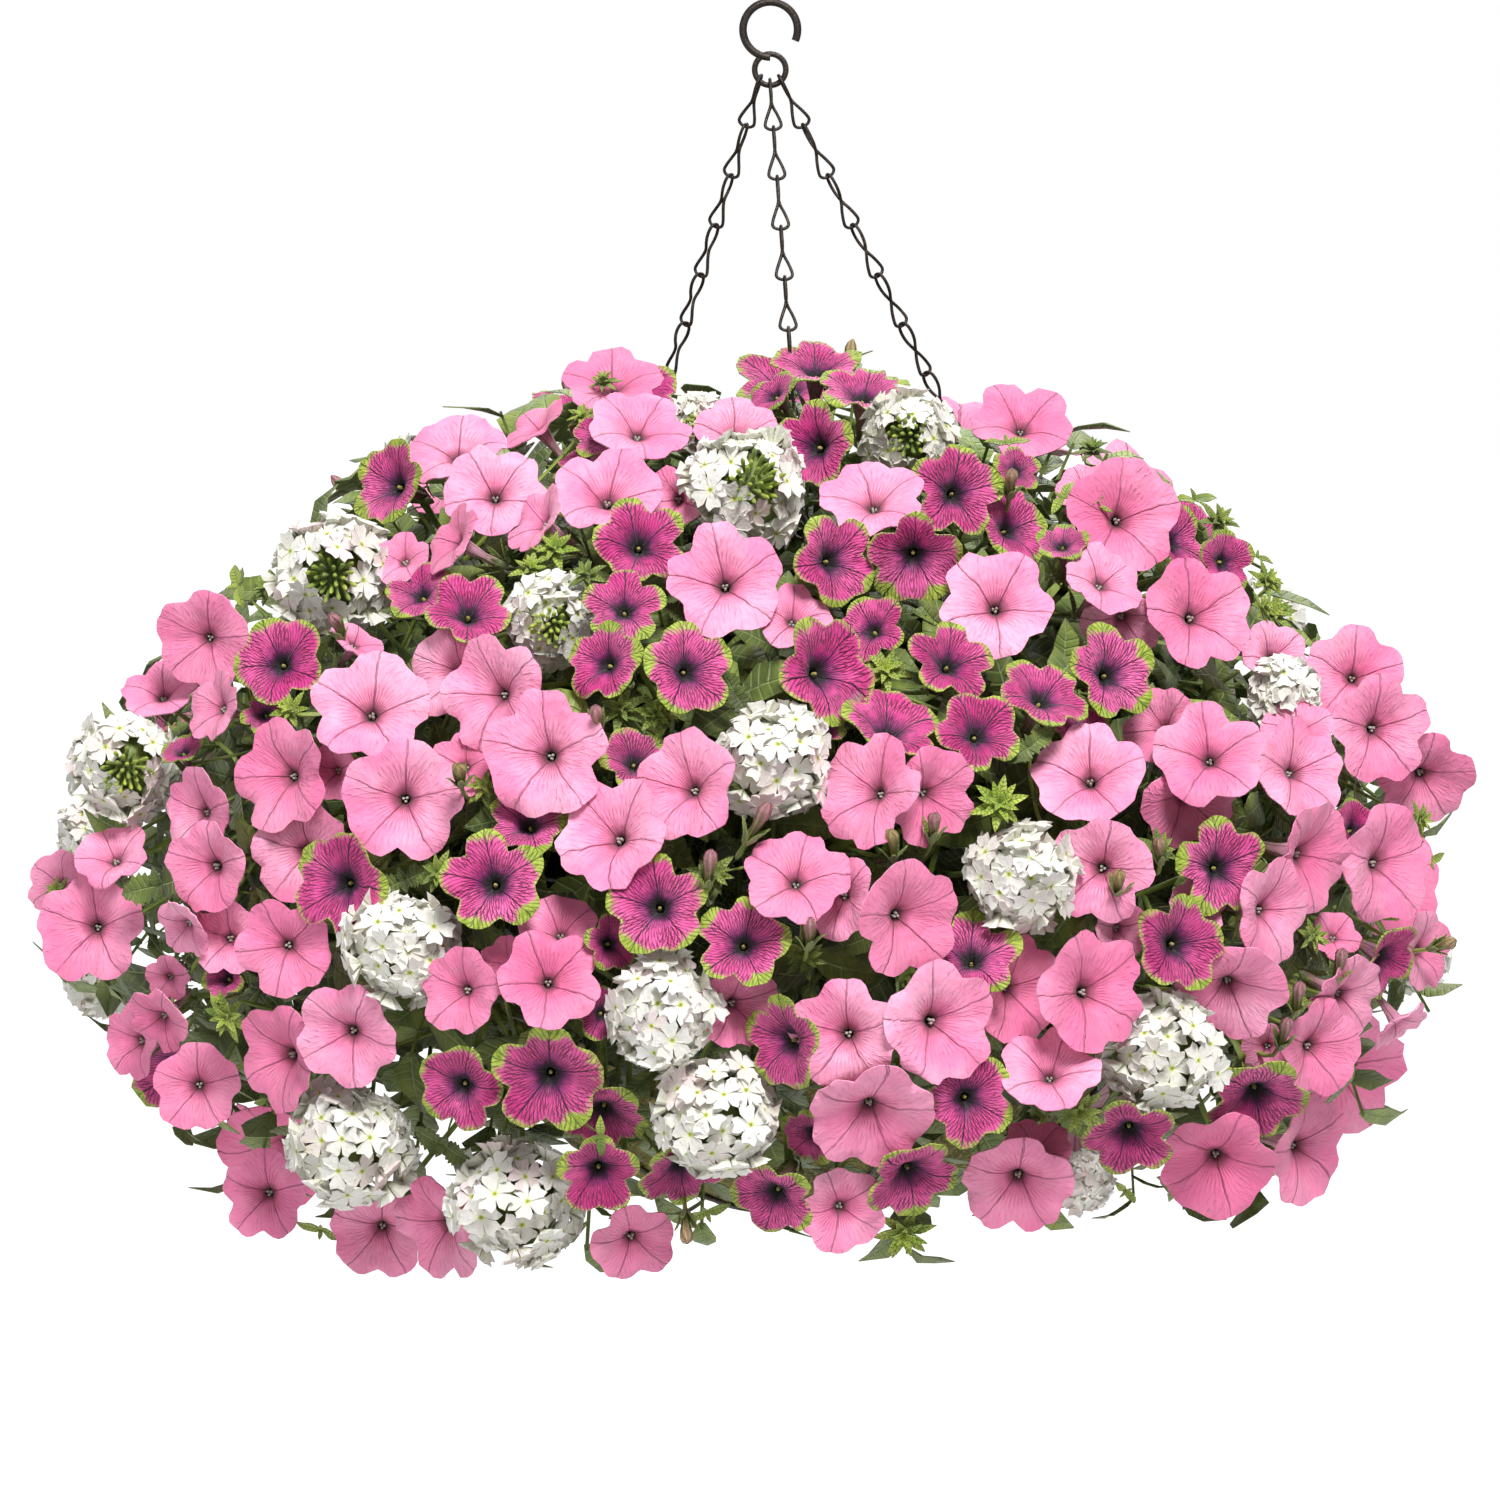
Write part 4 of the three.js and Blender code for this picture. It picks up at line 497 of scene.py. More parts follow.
# The potting soil that fills the liner: dark peat and bark crumbs, with a hole for each stem. Its
# mesh is the solid's own, and it gets its finish here.
soil, tree, shader, place, clouds, grain = new_finish("potting_soil", 120.0, 700.0)
crumb = add_node(tree, "ShaderNodeTexVoronoi", {"Vector": place, "Scale": 260.0}).outputs["Distance"]
shade = mixed(tree, ramped(tree, clouds, 0.4, 0.65), colour("#1F160F"), colour("#3D2C1F"))
shade = mixed(tree, ramped(tree, grain, 0.6, 0.75), shade, colour("#6B5442"))
link_in(tree, shader.inputs["Base Color"], shade)
shader.inputs["Roughness"].default_value = 0.97
bumped(tree, shader, worked(tree, "ADD", crumb, grain), 0.003)
for slot in bpy.data.objects["soil"].material_slots:
    slot.material = soil

# Where everything grows: a growth of the front lies where its line of sight meets the mound of flowers,
# and the rest is an even scatter. A row of a flower gives its middle, width and height, throat, and how
# many layers it lies behind the front one. A row of leaves gives its middle, size, kind, lean and layer.
MOUND = {"x": -8, "z": -461, "radius": 372, "rise": 289, "drop": 200, "fullness": 2.5}
MOUND_SEARCH = {"nearer": 500, "farther": 400, "step": 4}
LAYER_STEP = 16
SEEN = {"head_back": 14, "tilt": 0.95, "throat_reach": 0.9, "steepest": 0.93, "leaves_outward": 0.4}
GOLDEN_TURN = math.pi * (3 - math.sqrt(5))
FAR = {"places": 420, "lowest": -0.5, "faces_front": 0.12, "spacing": 1.5, "lean": 0.6}
FAR |= {"first_number": 700, "leaves_above": -540}
TURNS_FORWARD = {"most": 0.9, "up_to": 0.45}
STAYS_WITHIN = {"share": 0.8, "window": 0.11, "least_kept": 0.72}
FAR_KINDS = [("verbena", 0.09, 22, 26), ("purple", 0.38, 25, 31), ("pink", 0.9, 28, 35)]
FAR_KINDS += [("rosette", 0.96, 15, 19), ("pair", 1.0, 17, 21)]
CROSSING = {"least_slope": 0.06, "flush": 3, "share": 0.92, "overlap": 5}
SETTLING = {"rounds": 7, "within": 60, "sinks": 4.5}
KINDS = {
    "pink": {"cup": 0.4, "wall": 3.4, "foot": 0.17, "tube": 25},
    "purple": {"cup": 0.42, "wall": 3.4, "foot": 0.19, "tube": 22},
    "rosette": {"cup": 0.34, "wall": 2.2, "foot": 0.1, "tube": 0},
    "pair": {"cup": 0.3, "wall": 2.0, "foot": 0.08, "tube": 0},
}
SPRAYS = {"pink": 18, "purple": 11, "verbena": 6, "leafy": 7}
PINK = [
    (455, 447, 100, 64, 461, 457, 0), (495, 490, 100, 90, 494, 507, 0), (534, 422, 46, 70, 541, 450, 0),
    (612, 380, 98, 62, 612, 396, 1), (640, 424, 100, 68, 633, 450, 0), (736, 432, 84, 72, 735, 450, 1),
    (607, 490, 107, 82, 606, 515, 0), (674, 497, 60, 65, 680, 502, 1), (535, 518, 50, 76, 546, 535, 0),
    (450, 538, 78, 72, 478, 553, 0), (725, 580, 116, 113, 725, 594, 0), (795, 617, 76, 78, 787, 633, 1),
    (450, 672, 78, 95, 452, 673, 1), (491, 693, 95, 116, 511, 697, 0), (370, 706, 118, 106, 371, 724, 0),
    (402, 800, 120, 120, 406, 799, 0), (545, 754, 127, 127, 557, 760, 0), (202, 640, 93, 98, 217, 634, 0),
    (213, 706, 72, 72, 236, 714, 0), (160, 688, 80, 52, 165, 696, 1), (280, 776, 92, 112, 294, 777, 0),
    (332, 772, 58, 58, 346, 768, 1), (195, 813, 68, 90, 212, 812, 1), (205, 868, 76, 92, 216, 864, 0),
    (300, 852, 100, 106, 308, 850, 1), (90, 927, 108, 112, 97, 930, 0), (54, 882, 60, 68, 70, 890, 1),
    (112, 853, 75, 56, 118, 862, 1), (182, 929, 60, 64, 198, 914, 0), (225, 938, 72, 75, 230, 940, 1),
    (283, 948, 96, 98, 291, 943, 0), (167, 979, 48, 46, 175, 975, 1), (157, 1022, 68, 70, 172, 1008, 0),
    (130, 1042, 50, 76, 146, 1040, 1), (196, 1087, 87, 87, 200, 1085, 0),
    (276, 1058, 74, 107, 297, 1052, 0), (345, 1036, 105, 102, 361, 1034, 0),
    (263, 1195, 90, 90, 274, 1193, 0), (379, 1234, 98, 98, 384, 1219, 0),
    (436, 1230, 80, 110, 443, 1214, 0), (634, 1244, 82, 84, 629, 1229, 0), (684, 786, 98, 112, 692, 798, 0),
    (610, 832, 106, 116, 613, 851, 0), (560, 928, 80, 62, 560, 940, 1), (505, 966, 56, 60, 518, 968, 1),
    (550, 978, 102, 97, 544, 984, 0), (458, 991, 74, 88, 458, 991, 0), (740, 1006, 74, 86, 736, 1000, 0),
    (868, 790, 91, 116, 877, 801, 0), (932, 797, 88, 100, 922, 788, 0), (796, 876, 104, 88, 796, 878, 0),
    (836, 897, 74, 88, 840, 895, 0), (909, 920, 97, 118, 902, 910, 0), (845, 1036, 110, 112, 851, 1034, 0),
    (872, 1118, 124, 98, 867, 1102, 0), (843, 1211, 86, 88, 843, 1202, 0),
    (942, 1024, 110, 122, 932, 1020, 0), (1020, 990, 76, 110, 1006, 986, 1),
    (1095, 992, 105, 120, 1092, 995, 0), (1050, 1068, 100, 74, 1051, 1076, 0),
    (1018, 1187, 110, 94, 1021, 1171, 0), (873, 496, 104, 74, 876, 509, 0),
    (1022, 420, 99, 74, 1020, 428, 0), (1124, 515, 116, 114, 1111, 526, 0),
    (996, 602, 112, 105, 996, 607, 0), (1105, 578, 84, 68, 1092, 578, 0), (1125, 626, 90, 72, 1118, 616, 1),
    (1200, 613, 104, 112, 1190, 624, 0), (1276, 655, 68, 72, 1267, 664, 1),
    (1355, 673, 98, 96, 1353, 686, 0), (1382, 730, 100, 108, 1375, 727, 0),
    (1426, 782, 100, 86, 1417, 775, 0), (1088, 773, 110, 98, 1096, 785, 0),
    (1158, 724, 68, 78, 1165, 735, 1), (1210, 753, 110, 98, 1213, 754, 0),
    (1190, 803, 100, 90, 1178, 797, 1), (1301, 768, 92, 104, 1277, 782, 0),
    (1298, 728, 72, 62, 1300, 738, 1), (1315, 858, 70, 114, 1309, 849, 0),
    (1390, 865, 90, 120, 1377, 862, 0), (1100, 872, 103, 105, 1103, 865, 0),
    (1275, 912, 70, 106, 1268, 908, 0), (1230, 994, 114, 90, 1228, 981, 0),
    (1428, 952, 52, 80, 1412, 950, 1), (1336, 935, 52, 50, 1330, 945, 1),
    (1350, 1000, 68, 92, 1340, 985, 0), (1402, 1028, 52, 64, 1400, 1006, 0),
    (1320, 1050, 84, 102, 1312, 1042, 0), (1268, 1050, 54, 50, 1268, 1046, 1),
    (1218, 1166, 116, 102, 1217, 1148, 0), (1310, 1150, 74, 112, 1290, 1142, 0),
    (1200, 905, 60, 60, 1205, 910, 1), (1122, 930, 52, 60, 1115, 926, 1), (1086, 490, 60, 52, 1090, 500, 1),
    (462, 764, 70, 70, 470, 775, 1), (1036, 1146, 70, 52, 1040, 1150, 1), (358, 640, 46, 56, 350, 658, 1),
    (401, 558, 58, 52, 410, 560, 1),
]
PURPLE = [
    (387, 482, 66, 88, 402, 492, 0), (604, 432, 66, 52, 612, 448, 0), (580, 455, 70, 46, 600, 466, 1),
    (641, 540, 95, 86, 635, 556, 0), (419, 590, 72, 54, 428, 610, 1), (469, 607, 88, 74, 465, 630, 0),
    (624, 605, 84, 79, 624, 624, 0), (603, 661, 82, 78, 617, 669, 0), (690, 668, 95, 92, 675, 669, 0),
    (817, 362, 90, 42, 815, 376, 0), (863, 387, 90, 44, 862, 402, 0), (771, 391, 58, 44, 785, 406, 1),
    (811, 445, 78, 90, 813, 449, 0), (957, 490, 93, 94, 947, 497, 0), (1014, 525, 74, 86, 993, 540, 1),
    (1062, 541, 54, 52, 1064, 558, 0), (837, 559, 78, 94, 828, 564, 0), (914, 560, 95, 86, 913, 552, 0),
    (871, 627, 72, 66, 880, 640, 1), (829, 669, 86, 112, 825, 679, 0), (952, 659, 90, 77, 941, 677, 0),
    (1045, 692, 94, 66, 1032, 710, 0), (1114, 671, 88, 98, 1102, 682, 0), (892, 721, 102, 64, 882, 727, 0),
    (979, 731, 87, 78, 970, 738, 0), (1181, 538, 52, 84, 1169, 548, 1), (1227, 561, 62, 64, 1213, 563, 0),
    (279, 660, 92, 90, 285, 672, 0), (263, 711, 50, 42, 270, 720, 1), (181, 748, 44, 46, 182, 764, 1),
    (338, 885, 90, 106, 354, 882, 0), (636, 758, 74, 62, 630, 766, 1), (527, 820, 82, 68, 534, 826, 1),
    (493, 880, 104, 100, 496, 887, 0), (657, 905, 102, 100, 662, 909, 0), (743, 941, 94, 88, 744, 941, 0),
    (612, 943, 52, 58, 606, 946, 1), (603, 1013, 54, 56, 600, 1016, 1), (780, 1043, 66, 97, 787, 1038, 0),
    (547, 1080, 114, 110, 553, 1066, 0), (459, 1089, 84, 88, 459, 1079, 0),
    (602, 1118, 92, 68, 605, 1112, 1), (598, 1175, 84, 76, 598, 1165, 0), (684, 1174, 92, 66, 673, 1158, 0),
    (772, 1199, 84, 88, 786, 1179, 0), (808, 1138, 52, 64, 816, 1124, 1), (914, 1181, 98, 74, 900, 1170, 0),
    (970, 1100, 92, 95, 961, 1096, 0), (972, 953, 100, 78, 972, 958, 0), (1222, 867, 95, 100, 1221, 871, 0),
    (1182, 943, 87, 97, 1165, 947, 0), (1390, 962, 56, 80, 1375, 946, 0), (1358, 828, 48, 62, 1345, 836, 1),
    (1259, 1102, 104, 76, 1252, 1085, 0), (1130, 1139, 96, 74, 1130, 1129, 0),
    (223, 976, 54, 50, 236, 984, 1), (1081, 726, 62, 46, 1076, 735, 1), (814, 729, 78, 58, 828, 744, 1),
    (1018, 468, 52, 46, 1010, 479, 1),
]
VERBENA = [
    (747, 488, 132, 126, 736, 496, 0), (909, 436, 118, 84, 912, 434, 0), (696, 424, 62, 62, 696, 420, 1),
    (334, 575, 126, 128, 332, 571, 0), (552, 622, 90, 110, 552, 616, 1), (126, 766, 98, 138, 120, 760, 0),
    (770, 763, 118, 128, 770, 758, 0), (1283, 695, 92, 64, 1280, 690, 1),
    (1021, 876, 106, 122, 1021, 870, 0), (403, 949, 134, 112, 403, 944, 0),
    (663, 1010, 116, 124, 667, 1010, 0), (716, 1113, 142, 116, 715, 1111, 0),
    (1162, 1052, 128, 124, 1163, 1050, 0), (350, 1142, 138, 134, 350, 1137, 0),
    (516, 1202, 138, 140, 515, 1206, 0), (1082, 1180, 70, 58, 1080, 1180, 1),
]
FOLIAGE = [
    (603, 378, 36, "rosette", 0, 12, 0), (582, 414, 44, "rosette", 10, 10, 0),
    (553, 545, 52, "rosette", 0, 10, 0), (532, 566, 44, "rosette", -8, 10, 0),
    (585, 572, 42, "rosette", 6, 8, 0), (620, 706, 54, "rosette", 0, 6, 1),
    (656, 712, 46, "rosette", -6, 6, 1), (483, 785, 46, "rosette", 0, 8, 1),
    (886, 668, 54, "rosette", 0, 8, 1), (1008, 436, 48, "pair", 0, 14, 0), (1062, 492, 48, "pair", 8, 8, 0),
    (1092, 446, 42, "rosette", 6, 12, 0), (1095, 502, 40, "rosette", 4, 8, 0),
    (1199, 492, 58, "pair", -6, 16, 0), (1222, 518, 50, "rosette", -8, 8, 0),
    (1262, 552, 38, "pair", -10, 8, 0), (1270, 578, 46, "rosette", -12, 4, 0),
    (1266, 606, 34, "rosette", -12, 0, 0), (1160, 848, 46, "rosette", 0, 6, 1),
    (1316, 936, 40, "rosette", -6, 2, 0), (1300, 996, 44, "pair", -4, 0, 1),
    (1424, 820, 42, "rosette", -12, -2, 0), (1436, 862, 44, "pair", -10, -4, 0),
    (232, 580, 62, "pair", 12, 10, 0), (264, 586, 46, "rosette", 8, 8, 0),
    (288, 708, 44, "rosette", 4, 8, 0), (54, 892, 40, "rosette", 8, 6, 0), (150, 885, 90, "pair", 10, 2, 1),
    (400, 880, 66, "pair", 4, 2, 1), (436, 872, 48, "rosette", 0, 4, 1),
    (224, 1018, 54, "rosette", 8, 0, 0), (712, 872, 50, "rosette", 0, 4, 1),
    (806, 958, 44, "rosette", 0, 2, 1), (896, 858, 46, "pair", 0, 4, 1),
    (1000, 802, 62, "rosette", 0, 4, 0), (1034, 742, 62, "pair", -4, 8, 0), (735, 690, 60, "pair", 0, 6, 1),
    (690, 612, 60, "pair", 0, 8, 1), (1080, 1112, 58, "rosette", 0, -4, 0),
    (904, 1236, 62, "rosette", 2, -8, 0), (706, 1218, 52, "pair", 2, -8, 1),
    (318, 1236, 54, "pair", 4, -8, 0), (1128, 1196, 40, "pair", -4, -8, 1),
    (1000, 1206, 52, "pair", 0, -8, 1), (440, 1150, 66, "pair", 2, -4, 1),
    (600, 1140, 46, "pair", 0, -4, 0), (262, 1104, 36, "pair", 8, -6, 1),
]
mound_middle = np.array([MOUND["x"], 0, MOUND["z"]])


def chance(n):
    """A fixed draw between 0 and 1 for each whole number."""
    h = ((int(n) ^ 0x9E3779B9) * 0x85EBCA6B) & 0xFFFFFFFF
    h = ((h ^ (h >> 13)) * 0xC2B2AE35) & 0xFFFFFFFF
    return (h ^ (h >> 16)) / 4294967296


def sight_line(across, down):
    """The way from the view's point to a pixel, one long in the direction of the view."""
    sideways = (across - PICTURE_MIDDLE[0]) * PIXEL / VIEW_DISTANCE
    upward = (PICTURE_MIDDLE[1] - down) * PIXEL / VIEW_DISTANCE
    return view_right * sideways + view_up * upward + view_forward


def mound_level(p):
    """Below one inside the mound, one on it and more outside."""
    out = math.hypot(p[0] - MOUND["x"], p[1]) / MOUND["radius"]
    up = p[2] - MOUND["z"]
    if up > 0:
        return math.hypot(out, up / MOUND["rise"])
    fullness = MOUND["fullness"]
    return (out**fullness + (-up / MOUND["drop"]) ** fullness) ** (1 / fullness)


def mound_facing(p):
    height = MOUND["rise"] if p[2] > MOUND["z"] else MOUND["drop"]
    return unit((p - mound_middle) / np.array([MOUND["radius"], MOUND["radius"], height]) ** 2)


def mound_reach(line):
    """How far along a line of sight the mound is met, or passed at the least distance."""
    best, best_level = VIEW_DISTANCE, math.inf
    first, last = VIEW_DISTANCE - MOUND_SEARCH["nearer"], VIEW_DISTANCE + MOUND_SEARCH["farther"]
    for reach in range(first, last, MOUND_SEARCH["step"]):
        level = mound_level(view_point + line * reach)
        if level < 1:
            return reach - MOUND_SEARCH["step"] / 2
        if level < best_level:
            best, best_level = reach, level
    return best


def sign(a):
    return (a > 0) - (a < 0)


def growth_from_row(kind, row, number):
    """A growth of the front: a bloom tilts by as much as its outline is narrower than it is long."""
    head = kind == "verbena"
    across, down, width, height, throat_across, throat_down, layer = row
    line = sight_line(across, down)
    reach = mound_reach(line) + layer * LAYER_STEP + (SEEN["head_back"] if head else 0)
    seen = (width + height) / 4 if head else max(width, height) / 2
    tilt = SEEN["tilt"] * math.sqrt(1 - (min(width, height) / max(width, height)) ** 2)
    side = -(throat_across - across) / (SEEN["throat_reach"] * seen)
    lift = (throat_down - down) / (SEEN["throat_reach"] * seen)
    if not head and width < height:
        side = sign(side or across - PICTURE_MIDDLE[0]) * max(abs(side), tilt)
    if not head and width > height:
        lift = sign(lift or 1) * max(abs(lift), tilt)
    lean = min(1, SEEN["steepest"] / max(math.hypot(side, lift), 1e-9))
    side *= lean
    lift *= lean
    facing = view_right * side + view_up * lift - view_forward * math.sqrt(1 - side**2 - lift**2)
    return {
        "kind": kind,
        "number": number,
        "layer": layer,
        "centre": view_point + line * reach,
        "facing": unit(facing),
        "radius": seen * PIXEL * reach / VIEW_DISTANCE,
        "inward": unit(line),
    }


def growth_from_leaf_row(row, number):
    across, down, size, kind, lean_across, lean_down, layer = row
    flower_row = (across, down, size, size, across + lean_across, down + lean_down, layer)
    made = growth_from_row(kind, flower_row, number)
    outward = SEEN["leaves_outward"]
    made["facing"] = unit(made["facing"] * (1 - outward) + mound_facing(made["centre"]) * outward)
    return made


def shown(p):
    """Where a point shows in the picture: its distance and bearing from the mound's middle."""
    away = p - view_point
    away = away * VIEW_DISTANCE / np.dot(away, view_forward)
    middle = mound_middle - view_point
    across = np.dot(away - middle, view_right)
    up = np.dot(away - middle, view_up)
    return math.hypot(across, up), math.atan2(up, across)


def kept_distance(centre, radius, near):
    """The share of its distance out that a far growth keeps, to stay within the near ones' outline."""
    out, bearing = shown(centre)
    edge = 0
    for o in near:
        other_out, other_bearing = shown(o["centre"])
        turn = abs((other_bearing - bearing + 3 * math.pi) % (2 * math.pi) - math.pi)
        if turn < STAYS_WITHIN["window"]:
            edge = max(edge, other_out + STAYS_WITHIN["share"] * o["radius"])
    return max(STAYS_WITHIN["least_kept"], min(1, (edge - radius) / out))


def even_direction(i, count, lowest, turned=0.0):
    """One of many directions that are spread evenly down to a lowest rise, and its bearing."""
    rise = 1 - (1 - lowest) * ((i + 0.5) / count)
    out = math.sqrt(1 - rise**2)
    bearing = GOLDEN_TURN * i + turned
    return np.array([out * math.cos(bearing), out * math.sin(bearing), rise]), bearing


def far_side(near):
    """The growths of the sides, top and back, with room between them and within the near ones' outline."""
    kept = []
    for i in range(FAR["places"]):
        number = FAR["first_number"] + i
        direction, _ = even_direction(i, FAR["places"], FAR["lowest"])
        centre = mound_middle + direction / mound_level(mound_middle + direction)
        outward = mound_facing(centre)
        away = np.dot(outward, view_forward)
        if away < -FAR["faces_front"]:
            continue
        drawn = chance(number)
        kind, _, smallest, largest = next(k for k in FAR_KINDS if drawn <= k[1])
        radius = smallest + (largest - smallest) * chance(number * 2)
        centre = mound_middle + (centre - mound_middle) * kept_distance(centre, radius, near)
        if kind in ("rosette", "pair") and centre[2] < FAR["leaves_above"]:
            continue
        others, apart = near + kept, FAR["spacing"]
        if any(np.linalg.norm(o["centre"] - centre) < apart * (o["radius"] + radius) for o in others):
            continue
        lean = np.array([chance(number * 3), chance(number * 5), chance(number * 7)]) - 0.5
        forward = TURNS_FORWARD["most"] * max(0, 1 - away / TURNS_FORWARD["up_to"])
        facing = unit(outward + lean * FAR["lean"] - view_forward * forward)
        made = {"kind": kind, "number": number, "layer": 0, "radius": radius}
        made |= {"centre": centre, "facing": facing, "inward": -outward}
        kept.append(made)
    return kept


def discs_cross(a, b):
    """Whether two blades, taken as flat discs, cut through each other for more than a short way."""
    apart = b["centre"] - a["centre"]
    if np.linalg.norm(apart) > a["radius"] + b["radius"]:
        return False
    line = np.cross(a["facing"], b["facing"])
    slope = np.linalg.norm(line)
    if slope < CROSSING["least_slope"]:
        return abs(np.dot(apart, a["facing"])) < CROSSING["flush"]
    line = line / slope
    towards = np.cross(line, a["facing"])
    reach = np.dot(apart, b["facing"]) / np.dot(towards, b["facing"])
    foot = a["centre"] + towards * reach
    half_a = math.sqrt(max(0, (CROSSING["share"] * a["radius"]) ** 2 - reach**2))
    from_b = b["centre"] - foot
    along = np.dot(from_b, line)
    off_line = np.linalg.norm(from_b - line * along)
    half_b = math.sqrt(max(0, (CROSSING["share"] * b["radius"]) ** 2 - off_line**2))
    if not half_a or not half_b:
        return False
    return min(half_a, along + half_b) - max(-half_a, along - half_b) > CROSSING["overlap"]


def settle(blades):
    """Blades that would cut through each other settle into layers, the hindmost sinking in."""
    radii = np.array([b["radius"] for b in blades])
    for _ in range(SETTLING["rounds"]):
        centres = np.array([b["centre"] for b in blades])
        apart = np.linalg.norm(centres[:, None] - centres[None], axis=2)
        close = np.argwhere(np.triu(apart < radii[:, None] + radii[None] + SETTLING["within"], 1))
        for i, j in close:
            a, b = blades[i], blades[j]
            if not discs_cross(a, b):
                continue
            a_is_hindmost = (-a["layer"], a["radius"]) < (-b["layer"], b["radius"])
            lower = a if a_is_hindmost else b
            lower["centre"] = lower["centre"] + lower["inward"] * SETTLING["sinks"]


def into_groups(members, count):
    """Splits growths into groups that lie together, the fullest in half each time."""
    groups = [members]
    while len(groups) < count:
        groups.sort(key=lambda m: -len(m))
        fullest = groups.pop(0)
        centres = np.array([g["centre"] for g in fullest])
        size = centres.max(0) - centres.min(0)
        widest = 0
        for k in (1, 2):
            if size[k] > size[widest]:
                widest = k
        ordered = sorted(fullest, key=lambda g: g["centre"][widest])
        half = (len(ordered) + 1) // 2
        groups += [ordered[:half], ordered[half:]]
    return groups


near = [growth_from_row("verbena", row, 400 + i) for i, row in enumerate(VERBENA)]
near += [growth_from_row("pink", row, i) for i, row in enumerate(PINK)]
near += [growth_from_row("purple", row, 200 + i) for i, row in enumerate(PURPLE)]
near += [growth_from_leaf_row(row, 500 + i) for i, row in enumerate(FOLIAGE)]
growths = near + far_side(near)
settle(growths)
sprays = {}
for family, count in SPRAYS.items():
    grown = [g for g in growths if (g["kind"] if g["kind"] in SPRAYS else "leafy") == family]
    for i, members in enumerate(into_groups(grown, count)):
        sprays[f"{family}_spray_{i + 1:02d}"] = members

# The petunias: each bloom is one thin trumpet of five joined petals, with a ruffled edge, grooves
# along the veins and a dark throat. The pink ones are broad and round. A bloom's sizes are shares of
# its radius, but for the shell's thickness, which is in millimetres.
PETAL = {
    "pink": {"throat": 0.085, "notch": 0.17, "point": -0.02, "ruffle": 0.11, "curl": 0.17, "shell": 0.7},
    "purple": {"throat": 0.1, "notch": 0.24, "point": 0.03, "ruffle": 0.09, "curl": 0.18, "shell": 0.7},
}
FRONT = [0.0, 0.07, 0.16, 0.27, 0.4, 0.54, 0.68, 0.8, 0.9, 0.96, 1.0]
BACK = [1.0, 0.85, 0.6, 0.35, 0.16]
LIMB = {"oversize": 1.035, "wave": 0.045, "ripple": 0.027, "groove": 0.045, "dip": 0.05}
LIMB |= {"roll": 0.16, "rolls_from": 0.72, "tip": 0.012}
TUBE = {"front": 0.75, "behind": 0.35, "end": 2.3}
BLOOM_COLUMNS = {"front": 50, "behind": 30}
TUCK = {"least": -1, "deepest": -40, "reach": 14, "from": -8, "squeeze": 0.25, "past": 1.2}
NOWHERE = (0.5, 0.5)
bloom_rows = 2 + len(FRONT) + len(BACK) + 3
bloom_faces = {columns: ringed_faces(bloom_rows, columns) for columns in BLOOM_COLUMNS.values()}
bloom_centres = np.array([g["centre"] for g in growths])
bloom_facings = np.array([g["facing"] for g in growths])
bloom_radii = np.array([g["radius"] for g in growths])
is_petunia = np.array([g["kind"] in PETAL for g in growths])
bloom_depths = np.array([KINDS[g["kind"]]["cup"] * g["radius"] if g["kind"] in PETAL else 0 for g in growths])


class Bunch:
    """Meshes that are gathered into one piece, with a flat map and values at each point."""

    def __init__(self):
        self.points, self.faces, self.flat = [], [], []
        self.values = {"rim": [], "tone": [], "back": []}
        self.count = 0

    def add(self, points, faces, flat, rim, tone, back):
        size = len(points)
        self.points.append(np.asarray(points))
        self.faces += [[c + self.count for c in face] for face in faces]
        self.flat.append(np.broadcast_to(np.asarray(flat, float), (size, 2)))
        for label, numbers in (("rim", rim), ("tone", tone), ("back", back)):
            self.values[label].append(np.broadcast_to(np.asarray(numbers, float), (size,)))
        self.count += size

    def piece(self, name, finish, slot, nodes=(), angle=60):
        points, flat = np.concatenate(self.points), np.concatenate(self.flat)
        values = {label: np.concatenate(parts) for label, parts in self.values.items()}
        return new_piece(name, points, self.faces, finish, nodes, flat, values, angle)


def waves(number, theta, counts, salt):
    """Uneven waves round a bloom, of several counts at once."""
    total = np.zeros_like(theta)
    for i, k in enumerate(counts):
        height = chance(number * 131 + salt + i) - 0.2
        total += height * np.sin(k * theta + 6.283 * chance(number * 57 + salt * 7 + i))
    return total / math.sqrt(len(counts))


def square_to_growth(g):
    """Two directions in a growth's face, turned by its number."""
    return square_to(g["facing"], np.array([math.cos(g["number"]), math.sin(g["number"]), 0.3]))


def at_angle(first, second, angle):
    return first * math.cos(angle) + second * math.sin(angle)


def places_at_blooms(points):
    """For each point and bloom: the height over the bloom's middle, and the share of its radius out."""
    away = points[:, None] - bloom_centres[None]
    height = np.einsum("pgk,gk->pg", away, bloom_facings)
    return height, np.sqrt(np.maximum(0, (away**2).sum(2) - height**2)) / bloom_radii


def fallen(inward):
    """How deep a petunia's face lies at a share of the way in from its edge, as a share of its cup."""
    return 0.72 * inward**2.4 + 0.28 * inward


def tube_length(g):
    return KINDS[g["kind"]]["tube"] * TUBE["behind" if g["layer"] else "front"]


